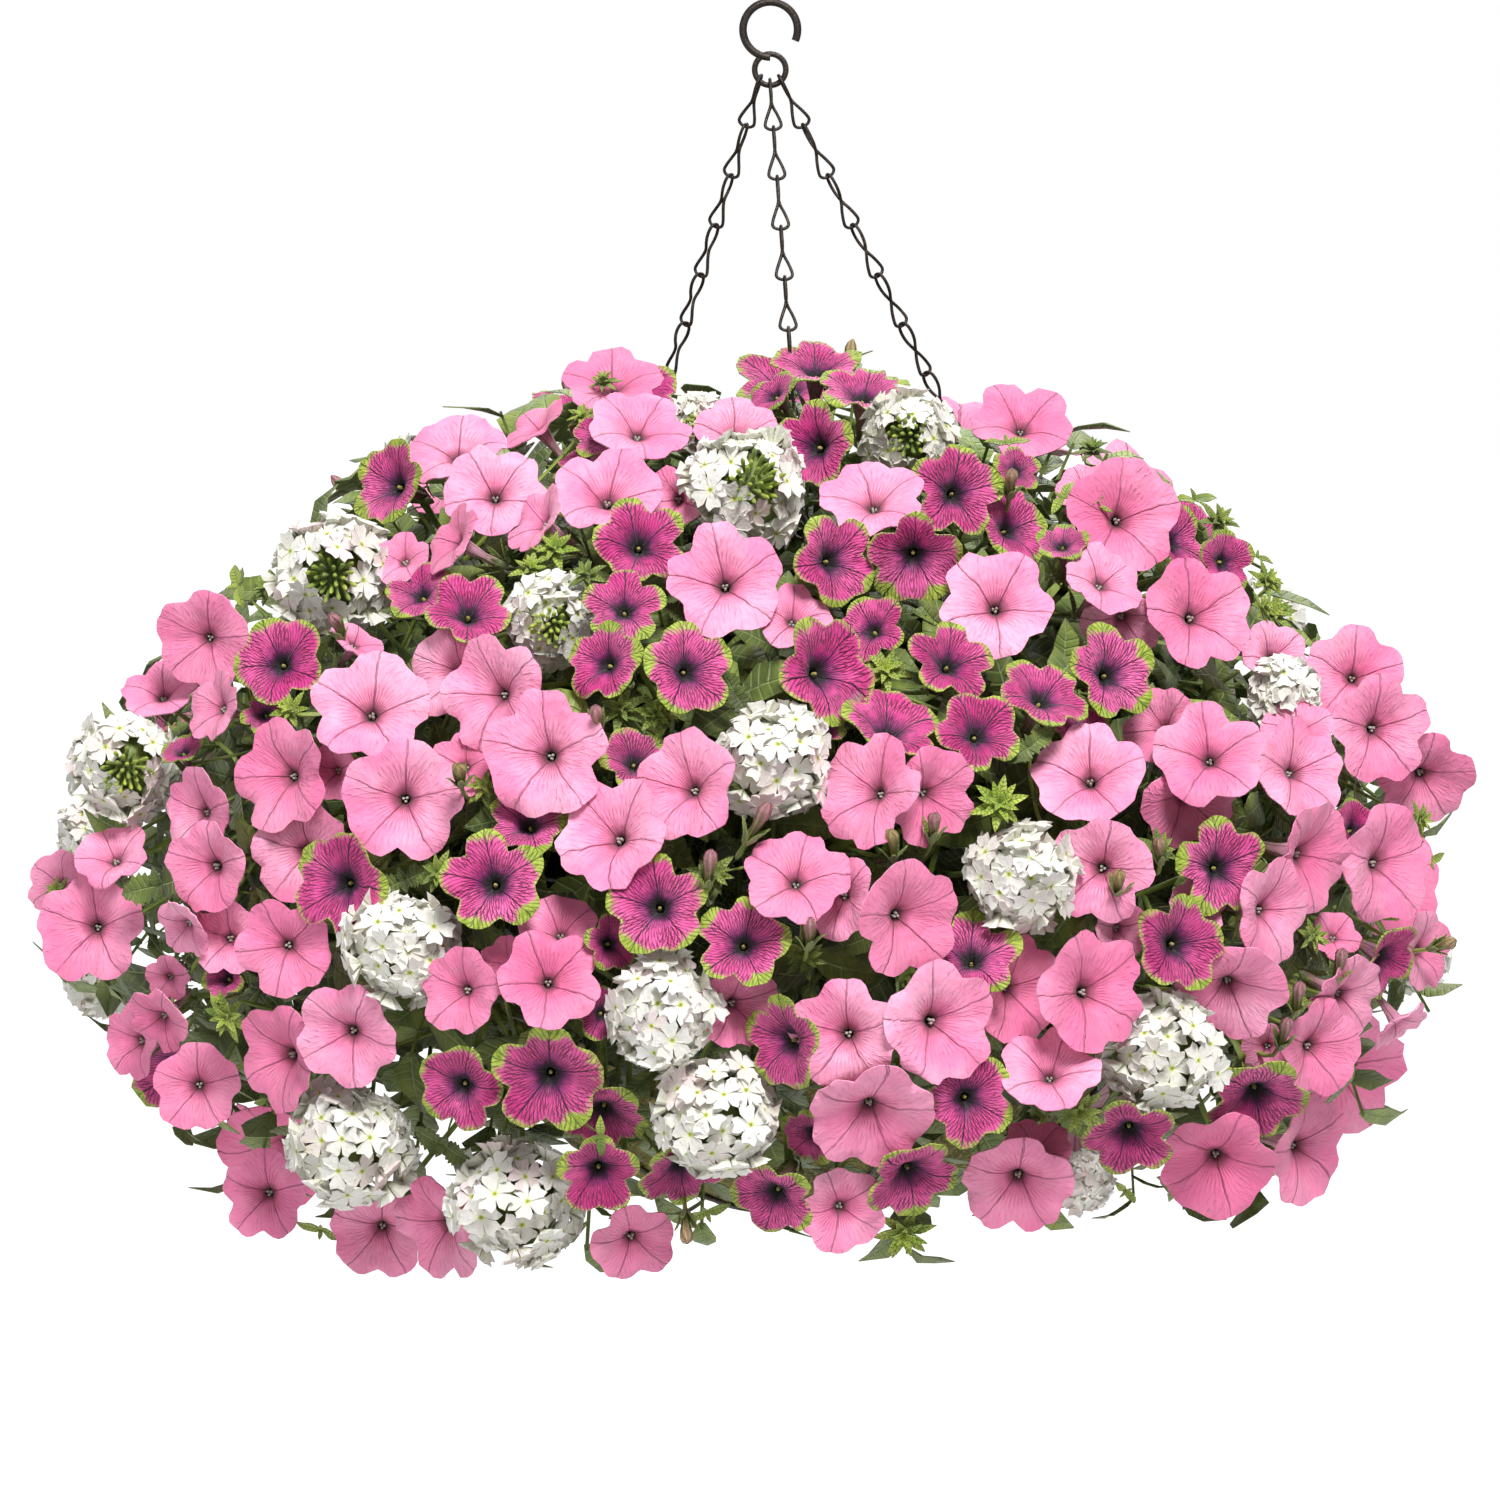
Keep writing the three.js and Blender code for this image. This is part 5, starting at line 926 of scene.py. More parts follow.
def tucked(points, limb, g):
    """Brings the bits of a bloom that would show through a petal in front of it back behind that petal."""
    height, out = places_at_blooms(points)
    above = height + bloom_depths * fallen(1 - np.clip(out, 0, 1))
    shared = (out < 1) & limb[:, None] & (above > TUCK["deepest"])
    front = (shared & (above > TUCK["least"])).sum(0)
    behind = (shared & (above <= TUCK["least"])).sum(0)
    highest = np.where(shared, above, TUCK["deepest"]).max(0)
    gives_way = is_petunia & (front > 0) & (front < 0.5 * behind) & (highest < TUCK["reach"])
    for k in np.flatnonzero(gives_way):
        if growths[k] is g:
            continue
        share = np.clip((TUCK["past"] - out[:, k]) / (TUCK["past"] - 1), 0, 1)
        over = np.clip(above[:, k] - TUCK["from"], 0, TUCK["reach"] - TUCK["from"])
        points = points - (share * over * (1 - TUCK["squeeze"]))[:, None] * bloom_facings[k]
    return points


def add_bloom(bunch, g):
    """One bloom, from the pole inside its tube over the throat and the limb's edge to the tube's foot."""
    kind, form = KINDS[g["kind"]], PETAL[g["kind"]]
    radius, number = LIMB["oversize"] * g["radius"], g["number"]
    in_front = number < FAR["first_number"] and not g["layer"]
    columns = BLOOM_COLUMNS["front" if in_front else "behind"]
    around = np.linspace(0, 2 * math.pi, columns, endpoint=False)
    first, second = square_to_growth(g)
    lobe = 0.5 + 0.5 * np.cos(5 * around)
    nearest = np.round(around / (0.4 * math.pi)).astype(int) % 5
    between = np.floor(around / (0.4 * math.pi)).astype(int) % 5
    curls = np.array([chance(number * 91 + k) - 0.62 for k in range(5)])[nearest] * lobe**1.5
    notches = 0.5 + np.array([chance(number * 71 + k) for k in range(5)])[between]
    dip = (1 - lobe) ** 3
    point = np.exp(-(((around * 5 + math.pi) % (2 * math.pi) - math.pi) / 0.5) ** 2)
    edge = 1 - form["notch"] * dip * notches + form["point"] * (point - 0.5)
    edge = edge + LIMB["wave"] * waves(number, around, (2, 3, 7), 3)
    edge = edge + LIMB["ripple"] * waves(number, around, (11, 14, 19), 5)
    slow = waves(number, around, (2, 3, 5), 11)
    quick = waves(number, around, (8, 11, 13, 17), 29)
    roll = np.clip(waves(number, around, (1, 2, 5), 41), 0, 1)
    cup = kind["cup"] * (0.85 + 0.3 * chance(number * 17))
    rows = []

    def ring(out, rise, share, behind):
        rows.append((np.broadcast_to(out, columns), np.broadcast_to(rise, columns), share, behind))

    def limb(share, lowered):
        out = (form["throat"] + (edge - form["throat"]) * share) * radius
        rise = -cup * fallen(1 - share) + form["ruffle"] * (share**2 * slow + share**3 * 0.6 * quick)
        rise = rise + form["curl"] * curls * share**2.6
        rise = rise + LIMB["groove"] * math.sin(math.pi * share) * (lobe - 0.5)
        rise = rise - LIMB["dip"] * dip * share**1.5
        rise = rise - LIMB["roll"] * roll * max(0, share - LIMB["rolls_from"]) ** 1.5 / 0.15
        rise = rise + LIMB["tip"] * share * (1 - point)
        ring(out, rise * radius - lowered, share, 1 if lowered else 0)

    deep = -(cup * radius)
    foot = -(kind["cup"] * radius + kind["wall"])
    tube = tube_length(g)
    ring(0.3 * form["throat"] * radius, deep - 0.5 * tube - 2, -0.4, 0)
    ring(0.8 * form["throat"] * radius, deep - 3.0, -0.15, 0)
    for share in FRONT:
        limb(share, 0)
    for share in BACK:
        limb(share, form["shell"])
    ring(kind["foot"] * radius, min(deep - 1, foot), 0.05, 1)
    ring(0.6 * kind["foot"] * radius, foot - 0.45 * tube, -0.2, 1)
    ring(TUBE["end"], foot - tube, -0.6, 1)
    points, flat, rim, back = [], [], [], []
    for out, rise, share, behind in rows:
        x, y = out * np.cos(around), out * np.sin(around)
        in_face = g["centre"] + x[:, None] * first + y[:, None] * second
        points.append(in_face + rise[:, None] * g["facing"])
        flat.append(np.stack([x, y], axis=1) / radius * 0.4 + 0.5)
        rim.append(np.full(columns, share))
        back.append(np.full(columns, behind))
    points, flat, rim, back = (np.concatenate(part) for part in (points, flat, rim, back))
    # Painted shade: the lower a bloom hangs, the deeper its tone, as if less lit from above. The rest of its
    # tone is random.
    painted_shade_from = MOUND["z"] + 0.5 * MOUND["rise"]
    low = min(1, max(0, (painted_shade_from - g["centre"][2]) / (0.5 * MOUND["rise"] + MOUND["drop"])))
    points = tucked(points, (back == 0) & (rim >= 0), g)
    bunch.add(points, bloom_faces[columns], flat, rim, 0.6 * chance(number * 23) + 0.4 * low, back)


# The stigma and anthers, small pale knobs deep in the throat: three in a pink bloom, one in a magenta.
# Each is a ball drawn out towards the view of the bloom.
KNOBS = {"pink": {"count": 3, "aside": 1.0, "size": 0.75}, "purple": {"count": 1, "aside": 0.0, "size": 1.0}}
bpy.ops.object.select_all(action="DESELECT")
bpy.ops.mesh.primitive_ico_sphere_add(subdivisions=2, radius=1)
knob = bpy.context.object
knob_points = np.array([v.co for v in knob.data.vertices])
knob_faces = [list(f.vertices) for f in knob.data.polygons]
bpy.data.objects.remove(knob)


def add_stigma(bunch, g):
    form = KNOBS[g["kind"]]
    deep = KINDS[g["kind"]]["cup"] * g["radius"]
    first, second = square_to(g["facing"], np.array([math.cos(g["number"]), 0.2, 0.3]))
    stretched = knob_points * form["size"] + np.outer(knob_points @ g["facing"], g["facing"]) * 1.1
    for k in range(form["count"]):
        aside = at_angle(first, second, 2.1 * k) * form["aside"]
        place = g["centre"] - g["facing"] * (deep + 0.6) + aside
        bunch.add(stretched + place, knob_faces, NOWHERE, -2.0, chance(g["number"]), 0)


# Veins of a petunia's limb: a strong one along each petal, side veins that branch off it, a fan of
# fine ones round the throat and a close net between them all.
vein_group, given, result = new_group(
    "petal_veins",
    [("Flat", "Vector"), ("Place", "Vector"), ("Fine Count", "Float"), ("Side Count", "Float")],
    [("Main", "Float"), ("Side", "Float"), ("Fine", "Float"), ("Net", "Float"), ("Petal", "Float")],
)


def from_centre(tree, flat):
    """The flat map's place taken from its middle, and how far out it is."""
    to_middle = {0: flat, 1: (-0.5, -0.5, 0)}
    centred = add_node(tree, "ShaderNodeVectorMath", to_middle, operation="ADD").outputs[0]
    length = add_node(tree, "ShaderNodeVectorMath", {0: centred}, operation="LENGTH").outputs["Value"]
    return add_node(tree, "ShaderNodeSeparateXYZ", {0: centred}).outputs, length


def wave(tree, turn):
    """Evenly spaced ridges, from 0 between them to 1 on each."""
    return worked(tree, "MULTIPLY_ADD", worked(tree, "COSINE", turn), 0.5, 0.5)


tree = vein_group
parts, length = from_centre(tree, given.outputs["Flat"])
angle = worked(tree, "ARCTAN2", parts[1], parts[0])
out = worked(tree, "MULTIPLY", length, 2.5)
place = given.outputs["Place"]
wander = add_node(tree, "ShaderNodeTexNoise", {"Vector": place, "Scale": 95.0, "Detail": 3.0})
stray = worked(tree, "SUBTRACT", wander.outputs["Fac"], 0.5)
patch = add_node(tree, "ShaderNodeTexNoise", {"Vector": place, "Scale": 170.0, "Detail": 2.0})
patchy = patch.outputs["Fac"]
petal = wave(tree, worked(tree, "MULTIPLY", angle, 5.0))
swung = worked(tree, "MULTIPLY", worked(tree, "MULTIPLY_ADD", stray, 0.22, angle), 5.0)
from_middle = worked(tree, "DIVIDE", worked(tree, "ARCCOSINE", worked(tree, "COSINE", swung)), math.pi)
main = ramped(tree, worked(tree, "MULTIPLY", from_middle, out), 0.028, 0.006)
slant = worked(tree, "MULTIPLY_ADD", from_middle, -1.05, worked(tree, "MULTIPLY_ADD", stray, 0.2, out))
side_turns = worked(tree, "MULTIPLY", given.outputs["Side Count"], 2 * math.pi)
side = worked(tree, "POWER", wave(tree, worked(tree, "MULTIPLY", slant, side_turns)), 13.0)
side = worked(tree, "MULTIPLY", side, ramped(tree, patchy, 0.34, 0.52, 0.35, 1.0))
bent = worked(tree, "MULTIPLY_ADD", worked(tree, "MULTIPLY", stray, 0.3), out, angle)
fine = worked(tree, "POWER", wave(tree, worked(tree, "MULTIPLY", bent, given.outputs["Fine Count"])), 7.0)
fine = worked(tree, "MULTIPLY", fine, ramped(tree, patchy, 0.3, 0.6))
back_slant = worked(tree, "MULTIPLY_ADD", from_middle, 0.6, worked(tree, "MULTIPLY_ADD", stray, 0.16, out))
net = worked(tree, "POWER", wave(tree, worked(tree, "MULTIPLY", back_slant, 2 * math.pi * 11)), 5.0)
net = worked(tree, "MULTIPLY", net, ramped(tree, patchy, 0.42, 0.6))
for label, value in (("Main", main), ("Side", side), ("Fine", fine), ("Net", net), ("Petal", petal)):
    tree.links.new(value, result.inputs[label])


def value_of(tree, label):
    """A value that each point of a mesh carries."""
    return add_node(tree, "ShaderNodeAttribute", attribute_name=label).outputs["Fac"]


def flat_map(tree):
    """Where a point lies in its petal's or leaf's own flat map."""
    return add_node(tree, "ShaderNodeUVMap", uv_map="flat").outputs["UV"]


def petal_finish(name, fine_count, side_count):
    """A finish with veins of its own counts: itself, its tree, shader, clouds, grain and veins."""
    finish, tree, shader, place, clouds, grain = new_finish(name, 28.0, 260.0)
    veins = add_node(tree, "ShaderNodeGroup", node_tree=vein_group)
    link_in(tree, veins.inputs["Flat"], flat_map(tree))
    link_in(tree, veins.inputs["Place"], place)
    veins.inputs["Fine Count"].default_value = fine_count
    veins.inputs["Side Count"].default_value = side_count
    return finish, tree, shader, clouds, grain, veins.outputs


def petal_relief(tree, shader, veins, clouds, grain, heights, depth):
    """Veins sunk in a limb, each kind by its own height, with its clouds and grain."""
    relief = worked(tree, "MULTIPLY", veins["Main"], heights["Main"])
    for label in ("Fine", "Side"):
        relief = worked(tree, "MULTIPLY_ADD", veins[label], heights[label], relief)
    relief = worked(tree, "MULTIPLY_ADD", grain, heights["grain"], relief)
    relief = worked(tree, "MULTIPLY_ADD", clouds, heights["clouds"], relief)
    bumped(tree, shader, relief, depth)


pink_petal, tree, shader, clouds, grain, veins = petal_finish("pink_petal", 41.0, 4.0)
rim, tone, back = value_of(tree, "rim"), value_of(tree, "tone"), value_of(tree, "back")
shade = mixed(tree, ramped(tree, clouds, 0.35, 0.65), colour("#F98CB8"), colour("#FFB4D2"))
# Deeper pink by the tone: partly at random, partly painted shade on the blooms that hang lower.
shade = mixed(tree, ramped(tree, tone, 0.35, 0.9, 0.0, 0.85), shade, colour("#E05E90"))
shade = mixed(tree, ramped(tree, rim, 0.45, 0.08, 0.0, 0.5), shade, colour("#D9608F"))
shade = mixed(tree, ramped(tree, grain, 0.45, 0.7, 0.0, 0.22), shade, colour("#EE6FA6"))
fade = worked(tree, "POWER", ramped(tree, rim, 1.0, 0.15), 2.2)
fine_share = worked(tree, "MULTIPLY", veins["Fine"], fade)
shade = mixed(tree, worked(tree, "MULTIPLY", fine_share, 0.9), shade, colour("#9A385A"))
side_share = worked(tree, "MULTIPLY", veins["Side"], ramped(tree, rim, 0.9, 0.15, 0.02, 0.26))
shade = mixed(tree, side_share, shade, colour("#DA5A8A"))
shade = mixed(tree, worked(tree, "MULTIPLY", veins["Net"], 0.12), shade, colour("#D65688"))
main_share = worked(tree, "MULTIPLY", veins["Main"], ramped(tree, rim, 0.95, 0.15, 0.08, 0.75))
shade = mixed(tree, main_share, shade, colour("#C84E7A"))
throat = worked(tree, "MULTIPLY", ramped(tree, rim, 0.2, 0.03), 0.85)
shade = mixed(tree, throat, shade, colour("#80394C"))
shade = mixed(tree, ramped(tree, rim, 0.06, -0.08), shade, colour("#3D2229"))
outside = mixed(tree, ramped(tree, clouds, 0.4, 0.6), colour("#EE9BBF"), colour("#F7B4CF"))
outside = mixed(tree, worked(tree, "MULTIPLY", veins["Main"], 0.5), outside, colour("#B55A86"))
outside = mixed(tree, ramped(tree, rim, 0.2, -0.5), outside, colour("#A8907A"))
shade = mixed(tree, back, shade, outside)
shade = mixed(tree, ramped(tree, rim, -1.0, -1.5), shade, colour("#B5AFA2"))
painted(tree, shader, shade, grain, 0.5, 0.68)
shader.inputs["Specular IOR Level"].default_value = 0.3
shader.inputs["Sheen Weight"].default_value = 0.15
pink_relief = {"Fine": -0.1, "Main": -0.6, "Side": -0.1, "grain": 0.4, "clouds": 2.4}
petal_relief(tree, shader, veins, clouds, grain, pink_relief, 0.0016)


def grow_blooms(family, finish, slot):
    """The blooms of each spray of a family, as one piece a spray."""
    for name, members in sprays.items():
        if not name.startswith(family):
            continue
        bunch = Bunch()
        for g in members:
            add_bloom(bunch, g)
            add_stigma(bunch, g)
        bunch.piece(name + "_blooms", finish, slot, [name], angle=50)


grow_blooms("pink", pink_petal, "pink_petals")

# The magenta petunias are smaller and more deeply lobed, with dark branching veins, a nearly black
# throat and a lime-green edge that is widest at the petals' tips.
magenta_petal, tree, shader, clouds, grain, veins = petal_finish("magenta_petal", 45.0, 6.0)
rim, tone, back = value_of(tree, "rim"), value_of(tree, "tone"), value_of(tree, "back")
shade = mixed(tree, ramped(tree, clouds, 0.36, 0.64), colour("#D43C8A"), colour("#EE6CAC"))
# Deeper magenta by the tone: partly at random, partly painted shade on the blooms that hang lower.
shade = mixed(tree, ramped(tree, tone, 0.3, 1.0, 0.0, 0.6), shade, colour("#A01C62"))
shade = mixed(tree, worked(tree, "MULTIPLY", veins["Net"], 0.75), shade, colour("#94184E"))
side_share = worked(tree, "MULTIPLY", veins["Side"], ramped(tree, rim, 1.0, 0.35, 0.7, 1.0))
shade = mixed(tree, side_share, shade, colour("#6A0A3C"))
fade = ramped(tree, rim, 1.0, 0.3, 0.45, 1.0)
shade = mixed(tree, worked(tree, "MULTIPLY", veins["Fine"], fade), shade, colour("#46062C"))
shade = mixed(tree, worked(tree, "MULTIPLY", veins["Main"], 0.9), shade, colour("#4A0832"))
halo = worked(tree, "MULTIPLY", ramped(tree, rim, 0.46, 0.12), 0.75)
shade = mixed(tree, halo, shade, colour("#4A1060"))
shade = mixed(tree, ramped(tree, rim, 0.25, 0.07), shade, colour("#1E0717"))
ragged = worked(tree, "MULTIPLY_ADD", worked(tree, "SUBTRACT", grain, 0.5), 0.3, rim)
ragged = worked(tree, "MULTIPLY_ADD", veins["Net"], -0.06, ragged)
at_tips = worked(tree, "POWER", veins["Petal"], 1.3)
width = worked(tree, "MULTIPLY", at_tips, ramped(tree, clouds, 0.4, 0.62, 0.04, 0.32))
past = worked(tree, "SUBTRACT", ragged, worked(tree, "SUBTRACT", 0.985, width))
shade = mixed(tree, worked(tree, "MULTIPLY", ramped(tree, past, -0.1, 0.0), 0.6), shade, colour("#C99A86"))
lime = mixed(tree, ramped(tree, grain, 0.35, 0.65), colour("#8CA42F"), colour("#B4C455"))
shade = mixed(tree, ramped(tree, past, -0.03, 0.045), shade, lime)
outside = mixed(tree, ramped(tree, clouds, 0.4, 0.6), colour("#C0699A"), colour("#CE8F98"))
outside = mixed(tree, ramped(tree, rim, 0.7, 0.98), outside, colour("#B3BD5C"))
outside = mixed(tree, ramped(tree, rim, 0.3, -0.4), outside, colour("#7D6B3E"))
shade = mixed(tree, back, shade, outside)
shade = mixed(tree, ramped(tree, rim, -1.0, -1.5), shade, colour("#A39B52"))
painted(tree, shader, shade, grain, 0.48, 0.66)
shader.inputs["Specular IOR Level"].default_value = 0.3
shader.inputs["Sheen Weight"].default_value = 0.12
magenta_relief = {"Fine": -0.35, "Main": -0.8, "Side": -0.5, "grain": 0.5, "clouds": 1.4}
petal_relief(tree, shader, veins, clouds, grain, magenta_relief, 0.0015)
grow_blooms("purple", magenta_petal, "magenta_petals")

# The greenery of the petunias: stalks and stems that follow the solids' own, and calyces of five narrow
# sepals. One green serves every leaf, from dark to light by its tone, with a paler midrib and veins.
# A leaf's form is made of shares of its length and width.
LEAF = {"sinks": 0.45, "narrowest": 0.05, "teeth": 7, "waves": 7, "wave": 0.22}
FOOT = {"verbena": 0.62, "blade": 1.3, "past_blade": 3, "clear": 0.4}
STALKS = {"merge": 2e-6, "fuller": 0.0006}
STALK_TONES = {"leafy": 0.6, "verbena": 0.35, "pink": 0.5, "purple": 0.5}
CALYX = {"gap": 3, "aside": 2, "length": 15, "width": 0.24, "tone": 0.42}
leaf_green, tree, shader, place, clouds, grain = new_finish("leaf_green", 70.0, 600.0)
parts = add_node(tree, "ShaderNodeSeparateXYZ", {0: flat_map(tree)}).outputs
from_rib = worked(tree, "ABSOLUTE", worked(tree, "SUBTRACT", parts[0], 0.5))
blade, tone, back = value_of(tree, "rim"), value_of(tree, "tone"), value_of(tree, "back")
midrib = worked(tree, "MULTIPLY", ramped(tree, from_rib, 0.045, 0.012), blade)
slanted = worked(tree, "MULTIPLY_ADD", from_rib, -9.0, worked(tree, "MULTIPLY", parts[1], 44.0))
side_veins = worked(tree, "MULTIPLY", worked(tree, "POWER", wave(tree, slanted), 8.0), blade)
# The darkest greens are painted shade for leaves deep in the foliage, and also the dark verbena leaves' own
# colour.
low = mixed(tree, ramped(tree, clouds, 0.35, 0.65), colour("#1E1C0D"), colour("#38421D"))
mid = mixed(tree, ramped(tree, clouds, 0.35, 0.65), colour("#5C752A"), colour("#93A348"))
high = mixed(tree, ramped(tree, clouds, 0.35, 0.65), colour("#9DB834"), colour("#C6D456"))
shade = mixed(tree, ramped(tree, tone, 0.0, 0.5), low, mid)
shade = mixed(tree, ramped(tree, tone, 0.5, 1.0), shade, high)
shade = mixed(tree, worked(tree, "MULTIPLY", side_veins, 0.35), shade, colour("#93A856"))
shade = mixed(tree, worked(tree, "MULTIPLY", midrib, 0.6), shade, colour("#A3B66A"))
shade = mixed(tree, worked(tree, "MULTIPLY", back, 0.5), shade, colour("#919E6A"))
painted(tree, shader, shade, grain, 0.42, 0.62)
shader.inputs["Specular IOR Level"].default_value = 0.4
shader.inputs["Sheen Weight"].default_value = 0.2
relief = worked(tree, "MULTIPLY_ADD", side_veins, -0.6, worked(tree, "MULTIPLY", midrib, -1.0))
bumped(tree, shader, worked(tree, "MULTIPLY_ADD", grain, 0.4, relief), 0.0008)


def leaf_grid(across, along):
    """A blade's places across and along, and the faces of its upper side, underside and edge."""
    u, t = np.meshgrid(np.linspace(-1, 1, across + 1), np.linspace(0, 1, along + 1))
    columns, size = across + 1, (across + 1) * (along + 1)
    faces = []
    for j in range(along):
        for i in range(across):
            a = j * columns + i
            faces.append([a, a + 1, a + columns + 1, a + columns])
            faces.append([size + a, size + a + columns, size + a + columns + 1, size + a + 1])
    border = list(range(columns))
    border += [j * columns + across for j in range(1, along + 1)]
    border += [along * columns + i for i in range(across - 1, -1, -1)]
    border += [j * columns for j in range(along - 1, 0, -1)]
    for k, a in enumerate(border):
        b = border[(k + 1) % len(border)]
        faces.append([b, a, size + a, size + b])
    return u.ravel(), t.ravel(), faces


fine_leaf = leaf_grid(4, 6)
plain_leaf = leaf_grid(2, 5)
small_leaf = leaf_grid(2, 3)
toothed_leaf = leaf_grid(6, 21)


def cuts_a_bloom(points):
    """Whether any of these points stands in or in front of a bloom's face."""
    height, out = places_at_blooms(points)
    return bool(((out < 1.02) & (height > -0.42 * bloom_radii * (1 - out) - 4) & (height < 45)).any())


def pokes_through_a_bloom(points):
    """Whether a blade lies behind a petunia's face for the most part, with a bit of it in front."""
    height, out = places_at_blooms(points)
    above = height + 0.4 * bloom_radii * (1 - out)
    facing_it = (out < 0.98) & is_petunia
    front = (facing_it & (above > 1) & (above < 40)).sum(0)
    behind = (facing_it & (above < -1) & (above > -40)).sum(0)
    return bool(((front > 0) & (front < behind)).any())


def add_leaf(
    bunch, grid, base, direction, up, length, width, tone, number,
    bend=0.5, fold=0.25, teeth=0.0, gives_way=False,
):
    """One leaf blade from its base, arching down from its upper side, with a wavy edge. It is left out
    where it would poke through a petunia, or where it gives way and would cut any bloom."""
    u, t, faces = grid
    form = np.sin(math.pi * np.clip(0.03 + 0.97 * t, 0, 1) ** 0.82) ** 0.8
    half = width * length * 0.5 * np.clip(form, LEAF["narrowest"], 1)
    half = half * (1 + teeth * (np.abs(u) > 0.8) * (1 - 2 * ((t * LEAF["teeth"]) % 1)))
    phase = 6.28 * chance(number * 13)
    bend = bend * (0.6 + 0.8 * chance(number * 7)) + 1e-3
    ahead = length * np.sin(bend * t) / bend
    lowered = -length * (1 - np.cos(bend * t)) / bend
    lifted = (fold + LEAF["wave"] * np.sin(LEAF["waves"] * t + phase)) * np.abs(u) * half
    along = unit(direction)
    above = unit(up - along * np.dot(up, along) + 1e-6)
    side = np.cross(along, above)
    points = base + np.outer(u * half, side) + np.outer(ahead, along) + np.outer(lowered + lifted, above)
    in_the_way = cuts_a_bloom(points) if gives_way else pokes_through_a_bloom(points)
    if in_the_way:
        return
    under = points - above * LEAF["sinks"]
    flat = np.stack([0.5 + 0.5 * u, t], axis=1)
    back = np.concatenate([np.zeros(len(u)), np.ones(len(u))])
    bunch.add(np.concatenate([points, under]), faces, np.concatenate([flat, flat]), 1.0, tone, back)


def foot_depth(g):
    """How far a growth's solid blade or head reaches behind its middle."""
    if g["kind"] == "verbena":
        return FOOT["verbena"] * g["radius"]
    kind = KINDS[g["kind"]]
    return kind["cup"] * g["radius"] + kind["wall"]


def add_stalks(bunch, name, members):
    """The stalks and stem of a spray: a copy of its solid without the blades, fuller and rounded."""
    grown = bmesh.new()
    grown.from_mesh(bpy.data.objects[name].data)
    bmesh.ops.remove_doubles(grown, verts=grown.verts, dist=STALKS["merge"])
    places = np.array([p.co for p in grown.verts]) * 1000
    blade = np.zeros(len(places), bool)
    for g in members:
        away = places - g["centre"]
        near_it = np.linalg.norm(away, axis=1) < FOOT["blade"] * g["radius"] + FOOT["past_blade"]
        blade |= near_it & (-(away @ g["facing"]) < foot_depth(g) - FOOT["clear"])
    bmesh.ops.delete(grown, geom=[p for p, gone in zip(grown.verts, blade) if gone], context="VERTS")
    loose = [p for p in grown.verts if not p.link_faces]
    bmesh.ops.delete(grown, geom=loose, context="VERTS")
    bmesh.ops.holes_fill(grown, edges=[e for e in grown.edges if e.is_boundary], sides=0)
    bmesh.ops.triangulate(grown, faces=grown.faces)
    bmesh.ops.recalc_face_normals(grown, faces=grown.faces)
    grown.normal_update()
    for p in grown.verts:
        p.co += p.normal * STALKS["fuller"]
    mesh = bpy.data.meshes.new(name + "_rounded")
    grown.to_mesh(mesh)
    grown.free()
    strand = bpy.data.objects.new(name + "_rounded", mesh)
    scene.collection.objects.link(strand)
    bpy.ops.object.select_all(action="DESELECT")
    strand.select_set(True)
    bpy.context.view_layer.objects.active = strand
    rounder = strand.modifiers.new("rounder", "SUBSURF")
    rounder.levels = 1
    rounder.render_levels = 1
    bpy.ops.object.modifier_apply(modifier=rounder.name)
    points = np.array([p.co for p in strand.data.vertices]) * 1000
    faces = [list(f.vertices) for f in strand.data.polygons]
    bpy.data.objects.remove(strand)
    bunch.add(points, faces, NOWHERE, 0.0, STALK_TONES[name.split("_")[0]], 0.0)


def add_calyx(bunch, g):
    """Five narrow sepals that hold the foot of a petunia's tube."""
    base = g["centre"] - g["facing"] * (foot_depth(g) + tube_length(g) + CALYX["gap"])
    first, second = square_to(g["facing"], np.array([0.2, 0.9, 0.4]))
    length, width, tone = CALYX["length"], CALYX["width"], CALYX["tone"]
    for k in range(5):
        outward = at_angle(first, second, 2 * math.pi * k / 5)
        number = g["number"] * 9 + k
        sepal = g["facing"] + outward * (0.3 + 0.25 * chance(number))
        start_at = base + outward * CALYX["aside"]
        add_leaf(bunch, small_leaf, start_at, sepal, -outward, length, width, tone, number, 0.3, 0.1)


def grow_greenery(name, members, add_growth):
    """The greenery of a spray as one piece: its stalks and stem, and what each growth adds to it."""
    greens = Bunch()
    add_stalks(greens, name, members)
    for g in members:
        add_growth(greens, g)
    greens.piece(name + "_greenery", leaf_green, "leaves", [name], angle=80)


for name, members in sprays.items():
    if name.startswith(("pink", "purple")):
        grow_greenery(name, members, add_calyx)

# The verbena: domed heads of small white florets with five notched petals and a yellow-green eye, all
# round a green heart. The youngest heads still have green buds in the middle.
YOUNG_HEADS = {400, 401, 402, 403, 404, 405}
HEART = {"share": 0.66, "flatter": 0.2, "tone": 0.3}
FLORET = {"radius": 9.7, "count": 37, "deep": 0.8, "dished": 0.14, "past_the_side": 1.36, "turned": 0.62}
BUD_CLUSTER = {"count": 26, "spread": 0.45, "radii": [0.7, 0.9, 1.2, 0.5], "shares": [0, 0.5, 0.85, 1]}
PETAL_OUTLINE = [(-36, 0.32), (-31, 0.76), (-19, 1.0), (0, 0.84), (19, 1.0), (31, 0.76)]
white_floret, tree, shader, place, clouds, grain = new_finish("white_floret", 60.0, 500.0)
out = worked(tree, "MULTIPLY", from_centre(tree, flat_map(tree))[1], 2.0)
tone, back = value_of(tree, "tone"), value_of(tree, "back")
shade = mixed(tree, ramped(tree, clouds, 0.35, 0.65), colour("#DEDCD2"), colour("#F3F1EC"))
